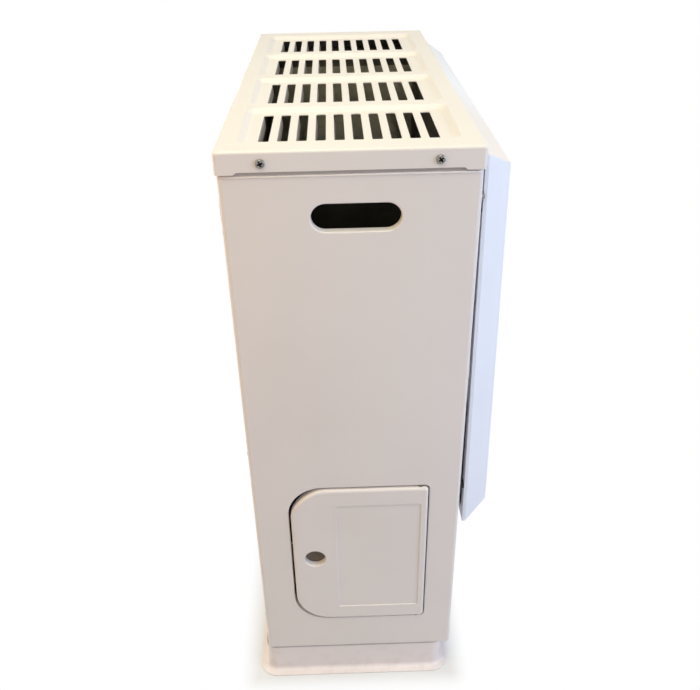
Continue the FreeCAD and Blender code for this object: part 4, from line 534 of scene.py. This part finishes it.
# what repeats: a pattern on points, its Z turned to "facing" and its X to "along"
def repeatTree():
    tree = bpy.data.node_groups.new("repeatSet", "GeometryNodeTree")
    for name, kind in (("Points", "Geometry"), ("Pattern", "Object"), ("Spin", "Float"), ("Seed", "Int"),
                       ("Finish", "Material")):
        tree.interface.new_socket(name, in_out="INPUT", socket_type="NodeSocket" + kind)
    tree.interface.new_socket("Set", in_out="OUTPUT", socket_type="NodeSocketGeometry")
    made = {}
    for key, kind in (
        ("in", "NodeGroupInput"),
        ("info", "GeometryNodeObjectInfo"),
        ("facing", "GeometryNodeInputNamedAttribute"),
        ("along", "GeometryNodeInputNamedAttribute"),
        ("spin", "FunctionNodeRandomValue"),
        ("about", "FunctionNodeAxisAngleToRotation"),
        ("stand", "FunctionNodeAlignRotationToVector"),
        ("swing", "FunctionNodeAlignRotationToVector"),
        ("turned", "FunctionNodeRotateRotation"),
        ("put", "GeometryNodeInstanceOnPoints"),
        ("real", "GeometryNodeRealizeInstances"),
        ("paint", "GeometryNodeSetMaterial"),
        ("out", "NodeGroupOutput"),
    ):
        made[key] = tree.nodes.new(kind)
    for key in ("facing", "along"):
        made[key].data_type = "FLOAT_VECTOR"
        made[key].inputs["Name"].default_value = key
    made["stand"].axis = "Z"
    made["swing"].axis = "X"
    made["swing"].pivot_axis = "Z"
    made["turned"].rotation_space = "LOCAL"
    made["spin"].data_type = "FLOAT"
    made["spin"].inputs[2].default_value = 0.0
    made["about"].inputs["Axis"].default_value = (0, 0, 1)
    source = made["in"].outputs
    for start, end in (
        (source["Pattern"], made["info"].inputs["Object"]),
        (source["Seed"], made["spin"].inputs["Seed"]),
        (source["Spin"], made["spin"].inputs[3]),
        (made["spin"].outputs[1], made["about"].inputs["Angle"]),
        (made["facing"].outputs[0], made["stand"].inputs["Vector"]),
        (made["stand"].outputs[0], made["swing"].inputs["Rotation"]),
        (made["along"].outputs[0], made["swing"].inputs["Vector"]),
        (made["swing"].outputs[0], made["turned"].inputs["Rotation"]),
        (made["about"].outputs[0], made["turned"].inputs["Rotate By"]),
        (source["Points"], made["put"].inputs["Points"]),
        (made["info"].outputs["Geometry"], made["put"].inputs["Instance"]),
        (made["turned"].outputs[0], made["put"].inputs["Rotation"]),
        (made["put"].outputs[0], made["real"].inputs[0]),
        (made["real"].outputs[0], made["paint"].inputs["Geometry"]),
        (source["Finish"], made["paint"].inputs["Material"]),
        (made["paint"].outputs[0], made["out"].inputs[0]),
    ):
        tree.links.new(start, end)
    return tree


repeatSet = repeatTree()


def repeated(name, pattern, places, facings, alongs, finish, spin=0.0, seed=1):
    points = bpy.data.meshes.new(name + "Points")
    points.from_pydata(places, [], [])
    for key, ways in (("facing", facings), ("along", alongs)):
        layer = points.attributes.new(key, "FLOAT_VECTOR", "POINT")
        for item, way in zip(layer.data, ways):
            item.vector = way
    maker = bpy.data.objects.new(name + "Maker", points)
    bpy.context.scene.collection.objects.link(maker)
    modifier = maker.modifiers.new("made", "NODES")
    modifier.node_group = repeatSet
    inputs = {"Pattern": pattern, "Spin": spin, "Seed": seed, "Finish": finish}
    for item in repeatSet.interface.items_tree:
        if item.in_out == "INPUT" and item.name in inputs:
            modifier[item.identifier] = inputs[item.name]
    solid = evaluatedMesh(maker)
    maker.modifiers.remove(modifier)
    bpy.data.objects.remove(maker)
    solid.name = name
    return solid


# screws with a cross recess, one set for each CAD screw node
screw = {
    "head": 0.00475,
    "crownShare": 0.80,
    "rimSteps": 6,
    "rimFoot": 0.25,
    "shank": 0.0023,
    "shankShare": 0.8,
    "length": 0.0085,
    "reach": 0.0031,
    "reachBlend": 0.0006,
    "arm": 0.00072,
    "armBlend": 0.0002,
    "rings": 26,
    "sectors": 72,
    "kinds": {
        "pan": {"rise": 0.0030, "recess": 0.0022, "dome": 0.22},
        "low": {"rise": 0.0012, "recess": 0.0008, "dome": 0.22},
        "round": {"rise": 0.0048, "recess": 0.0026, "dome": 0.45},
    },
    "sets": {
        "left_cover_screws": {"kind": "pan", "way": (-1, 0, 0), "seed": 4},
        "right_cover_screws": {"kind": "pan", "way": (1, 0, 0), "seed": 9},
        "front_return_screws": {"kind": "round", "way": (0, -1, 0), "seed": 2, "proud": 0.0018},
        "rear_panel_screws": {"kind": "low", "way": (0, 1, 0), "seed": 6},
    },
}


def screwShape(shape, rise, recess, dome):
    # depth of the cross recess, which the screw finish turns into painted shade
    grime = shape.verts.layers.float.new("grime")
    profile = []
    edge = screw["crownShare"] * screw["head"]
    foot = screw["rimFoot"]
    for i in range(screw["rings"] + 1):
        r = edge * i / screw["rings"]
        profile.append((r, rise * (1.0 - dome * (r / edge) ** 2)))
    for i in range(1, screw["rimSteps"] + 1):
        a = math.pi / 2 * i / screw["rimSteps"]
        rim = edge + (screw["head"] - edge) * math.sin(a)
        profile.append((rim, (1.0 - dome) * rise * (foot + (1.0 - foot) * math.cos(a))))
    profile.append((screw["head"], 0.0))
    profile.append((screw["shank"], 0.0))
    profile.append((screw["shank"], -screw["length"] * screw["shankShare"]))
    rows = []
    for r, z in profile:
        row = []
        for k in range(screw["sectors"]):
            a = 2 * math.pi * k / screw["sectors"]
            x, y = r * math.cos(a), r * math.sin(a)
            narrow, far = min(abs(x), abs(y)), max(abs(x), abs(y))
            inArm = max(0.0, min(1.0, (screw["arm"] - narrow) / screw["armBlend"] + 1.0))
            inReach = max(0.0, min(1.0, (screw["reach"] - far) / screw["reachBlend"]))
            drop = recess * inArm * inReach if r < edge else 0.0
            corner = shape.verts.new((x, y, z - drop))
            corner[grime] = drop / recess
            row.append(corner)
        rows.append(row)
    for lower, upper in zip(rows, rows[1:]):
        for k in range(screw["sectors"]):
            n = (k + 1) % screw["sectors"]
            shape.faces.new((lower[k], lower[n], upper[n], upper[k]))
    tip = shape.verts.new((0, 0, -screw["length"]))
    for k in range(screw["sectors"]):
        shape.faces.new((rows[-1][k], rows[-1][(k + 1) % screw["sectors"]], tip))


screwPatterns = {}
for kind, sizes in screw["kinds"].items():
    mesh = meshFrom(kind + "ScrewPattern", screwShape, **sizes)
    mesh.shade_smooth()
    screwPatterns[kind] = newPiece(kind + "ScrewPattern", mesh, finishes["screw_steel"])
for nodeName, look in screw["sets"].items():
    low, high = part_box(nodeName)
    way = Vector(look["way"])
    k = 0 if way.x else 1
    rise = screw["kinds"][look["kind"]]["rise"] - look.get("proud", 0.0)
    seat = (high[k] if way[k] > 0 else low[k]) - way[k] * rise
    ends = [low[1 - k] + screw["head"], high[1 - k] - screw["head"]]
    levels = [low.z + screw["head"], high.z - screw["head"]]
    if nodeName == "rear_panel_screws":
        levels.insert(1, sum(levels) / 2)
    else:
        levels = [sum(levels) / 2]
    places = []
    for end in ends:
        for level in levels:
            spot = [0.0, 0.0, level]
            spot[k] = seat
            spot[1 - k] = end
            places.append(spot)
    count = len(places)
    mesh = repeated(nodeName + "Set", screwPatterns[look["kind"]], places, [look["way"]] * count,
                    [(0, 0, 1)] * count, finishes["screw_steel"], math.pi, look["seed"])
    piece = newPiece(nodeName + "_crossed", mesh, finishes["screw_steel"])
    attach(piece, "casing")
    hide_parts(nodeName)
for pattern in screwPatterns.values():
    bpy.data.objects.remove(pattern)
print("screws set")


# half-round rib along X, lower at its ends
rib = {"endShare": 0.35, "steps": 8}


def ribShape(shape, long, wide, rise, sunk, taper):
    half = long / 2
    steps = rib["steps"]
    rows = []
    end = rib["endShare"]
    for x, share in ((-half, end), (-half + taper, 1.0), (half - taper, 1.0), (half, end)):
        row = []
        for i in range(steps + 1):
            a = math.pi * i / steps
            row.append(shape.verts.new((x, wide / 2 * math.cos(a), rise * share * math.sin(a) - sunk)))
        rows.append(row)
    for lower, upper in zip(rows, rows[1:]):
        for i in range(steps):
            shape.faces.new((lower[i], lower[i + 1], upper[i + 1], upper[i]))
        shape.faces.new((lower[steps], lower[0], upper[0], upper[steps]))
    shape.faces.new(rows[0])
    shape.faces.new(rows[-1])


# rolled bead along the top of each side panel
bead = {
    "below": 0.0029,
    "endGap": 0.0040,
    "section": {"wide": 0.0026, "rise": 0.0014, "sunk": 0.0002, "taper": 0.0020},
}
for side, out in (("left", -1), ("right", 1)):
    low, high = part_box(side + "_side_panel")
    face = low.x if out < 0 else high.x
    long = high.y - low.y - 2 * bead["endGap"]
    beadMesh = meshFrom(side + "TopBead", ribShape, long=long, **bead["section"])
    beadTurn = Matrix(((0, 0, out), (1, 0, 0), (0, out, 0))).to_4x4()
    beadMesh.transform(Matrix.Translation((face, (low.y + high.y) / 2, high.z - bead["below"])) @ beadTurn)
    beadMesh.shade_smooth()
    beadPiece = newPiece(side + "_top_bead", beadMesh, sidePaint)
    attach(beadPiece, "casing")
print("panel tops beaded")


# door with its upper rear corner drawn in, so that the gap widens there
door = {"corner": 0.048, "drawnIn": 0.0024, "rimDepth": 0.007, "fadeDepth": 0.020}


def easedDoor():
    low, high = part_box("access_door")
    source = nodes["access_door"].data
    shape = bmesh.new()
    shape.from_mesh(source)
    bmesh.ops.remove_doubles(shape, verts=shape.verts, dist=weld)
    for corner in shape.verts:
        y = corner.co.y - (high.y - door["corner"])
        z = corner.co.z - (high.z - door["corner"])
        if y <= 0.0 or z <= 0.0:
            continue
        reach = math.hypot(y, z)
        fade = (reach - door["corner"] + door["fadeDepth"]) / (door["fadeDepth"] - door["rimDepth"])
        slant = 2.0 * y * z / reach ** 2    # 1 on the corner's diagonal, 0 at its sides
        shrink = 1.0 - door["drawnIn"] * slant ** 2 * max(0.0, min(1.0, fade)) / reach
        corner.co.y += (shrink - 1.0) * y
        corner.co.z += (shrink - 1.0) * z
    mesh = bpy.data.meshes.new("easedDoor")
    shape.to_mesh(mesh)
    shape.free()
    mesh.normals_split_custom_set([normal.vector for normal in source.corner_normals])
    return mesh


doorPiece = newPiece("access_door_eased", easedDoor(), doorPaint)
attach(doorPiece, "door")
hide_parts("access_door")
print("door eased")


# disc on the inner end of the finger hole's flange
backing = {
    "fromRear": 0.0295, "flange": 0.0090, "radius": 0.0152, "thick": 0.0008, "sectors": 64, "bevelShare": 0.2,
}


def discShape(shape):
    bmesh.ops.create_cone(shape, cap_ends=True, segments=backing["sectors"], radius1=backing["radius"],
                          radius2=backing["radius"], depth=backing["thick"])
    rims = [e for e in shape.edges if abs(e.verts[0].co.z - e.verts[1].co.z) < weld]
    eased = backing["bevelShare"] * backing["thick"]
    bmesh.ops.bevel(shape, geom=rims, offset=eased, segments=2, affect="EDGES")


low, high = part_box("access_door")
backingMesh = meshFrom("fingerBacking", discShape)
backingX = low.x + backing["flange"] + backing["thick"] / 2
backingSpot = (backingX, high.y - backing["fromRear"], (low.z + high.z) / 2)
backingMesh.transform(Matrix.Translation(backingSpot) @ Matrix.Rotation(math.pi / 2, 4, "Y"))
backingPiece = newPiece("finger_hole_backing", backingMesh, zincFinish("brownedZinc", "browned"))
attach(backingPiece, "door")
print("finger hole backed")


# knob: flutes round its skirt and a pointer on its grip; the pointer's bar is also the dial's tick
knob = {
    "flutes": 44,
    "flute": {"long": 0.0050, "wide": 0.0013, "rise": 0.0005, "sunk": 0.0002, "taper": 0.0006},
    "skirt": 0.0070,
    "pointerFoot": 0.0050,
    "pointerReach": 0.0185,
    "pointer": {"wide": 0.0016, "rise": 0.00015, "sunk": 0.0002},
}
bar = {"bevelShare": 0.4}


def barShape(shape, long, wide, rise, sunk):
    bmesh.ops.create_cube(shape, size=1.0)
    for corner in shape.verts:
        corner.co = Vector((corner.co.x * long, corner.co.y * wide, rise if corner.co.z > 0 else -sunk))
    rims = [e for e in shape.edges if e.verts[0].co.z > 0 and e.verts[1].co.z > 0]
    bmesh.ops.bevel(shape, geom=rims, offset=bar["bevelShare"] * rise, segments=2, affect="EDGES")


low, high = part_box("control_knob")
knobMiddle = (low + high) / 2
knobRadius = (high.z - low.z) / 2
fluteMesh = meshFrom("flutePattern", ribShape, **knob["flute"])
flutePattern = newPiece("flutePattern", fluteMesh, finishes["knob_plastic"])
angles = [2 * math.pi * i / knob["flutes"] for i in range(knob["flutes"])]
outwards = [(0, math.cos(a), math.sin(a)) for a in angles]
skirtX = high.x - knob["skirt"] / 2
places = [(skirtX, knobMiddle.y + knobRadius * y, knobMiddle.z + knobRadius * z) for x, y, z in outwards]
alongs = [(1, 0, 0)] * knob["flutes"]
fluteSet = repeated("knobFlutes", flutePattern, places, outwards, alongs, finishes["knob_plastic"])
flutes = newPiece("knob_flutes", fluteSet, finishes["knob_plastic"])
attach(flutes, "knob")
bpy.data.objects.remove(flutePattern)

whiteMark = markFinish("pointerPaint", mark["white"])
pointerLong = knob["pointerReach"] - knob["pointerFoot"]
pointerMesh = meshFrom("knobPointer", barShape, long=pointerLong, **knob["pointer"])
pointerTurn = Matrix(((0, 0, -1), (0, -1, 0), (-1, 0, 0))).to_4x4()
pointerZ = knobMiddle.z + (knob["pointerReach"] + knob["pointerFoot"]) / 2
pointerMesh.transform(Matrix.Translation((low.x, knobMiddle.y, pointerZ)) @ pointerTurn)
pointer = newPiece("knob_pointer", pointerMesh, whiteMark)
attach(pointer, "knob")
print("knob dressed")


# dial on the bracket: ticks and plain numerals over the knob's half turn
dial = {
    "steps": 6,
    "between": 4,
    "tickFrom": 0.0250,
    "rise": 0.00012,
    "sunk": 0.00008,
    "ticks": {"long": {"to": 0.0295, "wide": 0.00070}, "short": {"to": 0.0275, "wide": 0.00049}},
    "numeralAt": 0.0340,
    "numeralSize": 0.0072,
}
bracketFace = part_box("control_bracket")[0].x
darkMark = markFinish("dialPaint", mark["black"])
dialShape = bmesh.new()
for kind, tick in dial["ticks"].items():
    isShort = kind == "short"
    long = tick["to"] - dial["tickFrom"]
    tickMesh = meshFrom("tickPattern", barShape, long=long, wide=tick["wide"], rise=dial["rise"],
                        sunk=dial["sunk"])
    tickPattern = newPiece("tickPattern", tickMesh, darkMark)
    total = dial["steps"] * dial["between"]
    turns = [math.pi * i / total for i in range(total + 1) if (i % dial["between"] != 0) == isShort]
    rays = [(0, -math.sin(a), math.cos(a)) for a in turns]
    at = dial["tickFrom"] + long / 2
    spots = [(bracketFace, knobMiddle.y + at * y, knobMiddle.z + at * z) for x, y, z in rays]
    ticks = repeated("dialTicks", tickPattern, spots, [(-1, 0, 0)] * len(spots), rays, darkMark)
    dialShape.from_mesh(ticks)
    bpy.data.objects.remove(tickPattern)
textTurn = Matrix(((0, 0, -1), (-1, 0, 0), (0, 1, 0))).to_4x4()
for i in range(dial["steps"] + 1):
    letters = bpy.data.curves.new("numeral", "FONT")
    letters.body = str(i)
    letters.size = dial["numeralSize"]
    letters.align_x = "CENTER"
    letters.align_y = "CENTER"
    letters.extrude = dial["rise"]
    writer = bpy.data.objects.new("numeral", letters)
    bpy.context.scene.collection.objects.link(writer)
    numeral = evaluatedMesh(writer)
    bpy.data.objects.remove(writer)
    a = math.pi * i / dial["steps"]
    spot = (bracketFace, knobMiddle.y - dial["numeralAt"] * math.sin(a),
            knobMiddle.z + dial["numeralAt"] * math.cos(a))
    numeral.transform(Matrix.Translation(spot) @ textTurn)
    dialShape.from_mesh(numeral)
dialMesh = bpy.data.meshes.new("dialMarks")
bmesh.ops.remove_doubles(dialShape, verts=dialShape.verts, dist=weld)
dialShape.to_mesh(dialMesh)
dialShape.free()
dialMarks = newPiece("dial_marks", dialMesh, darkMark)
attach(dialMarks, "casing")
print("dial marked")


# studio: pale floor, white surroundings, warm light from above and behind, cool light on the front,
# plain light on the right and on the back
studio = {
    "white": rgb(1, 1, 1),
    "whiteLevel": 1.0,
    "floor": rgb(0.68, 0.68, 0.67),
    "floorPale": rgb(0.72, 0.72, 0.71),
    "floorSpeckle": {"scale": 90.0, "detail": 3.0},
    "floorRough": 0.65,
    "roughSpeckle": 0.1,
    "floorReach": 6.0,
    "floorDrop": 0.0004,
    "footMiddle": 0.0075,
    "footHalf": (0.337, 0.1455),
    "fadeFrom": -0.022,
    "fadeTo": 0.032,
    "ambient": rgb(0.93, 0.84, 1.0),
    "ambientLevel": 0.222,
    "lamps": {
        "above": {"place": (-0.66, 0.28, 2.35), "aim": (-0.10, 0.0, 0.70), "size": 1.5, "watts": 25.5,
                  "colour": (1.0, 0.98, 0.68)},
        "over": {"place": (0.40, 0.05, 2.30), "aim": (0.05, 0.0, 0.80), "size": 1.2, "watts": 6.1,
                 "colour": (1.0, 0.98, 0.70)},
        "front": {"place": (-0.82, -1.10, 1.00), "aim": (-0.30, -0.10, 0.42), "size": 0.8, "watts": 11.4,
                  "colour": (0.71, 0.82, 1.0)},
        "rear": {"place": (-0.66, 0.78, 0.88), "aim": (-0.33, 0.12, 0.60), "size": 0.5, "watts": 2.3,
                 "colour": (1.0, 0.60, 0.22)},
        "right": {"place": (1.80, 0.25, 0.42), "aim": (0.33, 0.0, 0.42), "size": 0.74, "watts": 11.0,
                  "colour": (1.0, 0.96, 0.93)},
        "back": {"place": (0.35, 1.90, 0.42), "aim": (0.0, 0.13, 0.42), "size": 0.74, "watts": 8.0,
                 "colour": (1.0, 0.96, 0.93)},
    },
}
for name, lamp in studio["lamps"].items():
    lightData = bpy.data.lights.new(name + "Lamp", "AREA")
    lightData.size = lamp["size"]
    lightData.energy = lamp["watts"]
    lightData.color = lamp["colour"]
    light = bpy.data.objects.new(name + "Lamp", lightData)
    light.location = lamp["place"]
    towards = Vector(lamp["aim"]) - Vector(lamp["place"])
    light.rotation_euler = towards.to_track_quat("-Z", "Y").to_euler()
    bpy.context.scene.collection.objects.link(light)

floorMesh = bpy.data.meshes.new("floor")
reach = studio["floorReach"]
corners = ((-reach, -reach), (reach, -reach), (reach, reach), (-reach, reach))
floorMesh.from_pydata([(x, y, -studio["floorDrop"]) for x, y in corners], [], [(0, 1, 2, 3)])
f = Finish("paleFloor")
seen = f.greater(f.ray("Is Camera Ray"), f.greater(f.ray("Is Glossy Ray"), f.ray("Is Transmission Ray")))
beyondX = f.greater(abs(f.axis("X")) - studio["footHalf"][0], 0.0)
beyondY = f.greater(abs(f.axis("Y") - studio["footMiddle"]) - studio["footHalf"][1], 0.0)
gap = (beyondX ** 2.0 + beyondY ** 2.0) ** 0.5
away = f.step(gap, studio["fadeFrom"], studio["fadeTo"])
glow = f.node("ShaderNodeEmission", None, {"Color": studio["white"], "Strength": studio["whiteLevel"]})
speckle = f.noise(**studio["floorSpeckle"])
base = f.mixed(studio["floor"], studio["floorPale"], speckle)
f.done(**{"Base Color": base, "Roughness": studio["floorRough"] + speckle * studio["roughSpeckle"]})
mixer = f.node("ShaderNodeMixShader", None, {0: away * seen, 1: Wire(f, f.shader.outputs[0]), 2: glow})
f.feed(f.tree.nodes["Material Output"].inputs["Surface"], mixer)
floor = newPiece("floor", floorMesh, f.material)

world = bpy.data.worlds.new("whiteRoom")
bpy.context.scene.world = world
world.use_nodes = True
tree = world.node_tree
backdrop = tree.nodes["Background"]
backdrop.inputs["Color"].default_value = studio["white"]
backdrop.inputs["Strength"].default_value = studio["whiteLevel"]
fill = tree.nodes.new("ShaderNodeBackground")
fill.inputs["Color"].default_value = studio["ambient"]
fill.inputs["Strength"].default_value = studio["ambientLevel"]
path = tree.nodes.new("ShaderNodeLightPath")
first = tree.nodes.new("ShaderNodeMath")
first.operation = "MAXIMUM"
second = tree.nodes.new("ShaderNodeMath")
second.operation = "MAXIMUM"
tree.links.new(path.outputs["Is Camera Ray"], first.inputs[0])
tree.links.new(path.outputs["Is Glossy Ray"], first.inputs[1])
tree.links.new(first.outputs[0], second.inputs[0])
tree.links.new(path.outputs["Is Transmission Ray"], second.inputs[1])
mix = tree.nodes.new("ShaderNodeMixShader")
tree.links.new(second.outputs[0], mix.inputs[0])
tree.links.new(fill.outputs[0], mix.inputs[1])
tree.links.new(backdrop.outputs[0], mix.inputs[2])
tree.links.new(mix.outputs[0], tree.nodes["World Output"].inputs["Surface"])
bpy.context.scene.view_settings.view_transform = "Standard"
print("studio set")
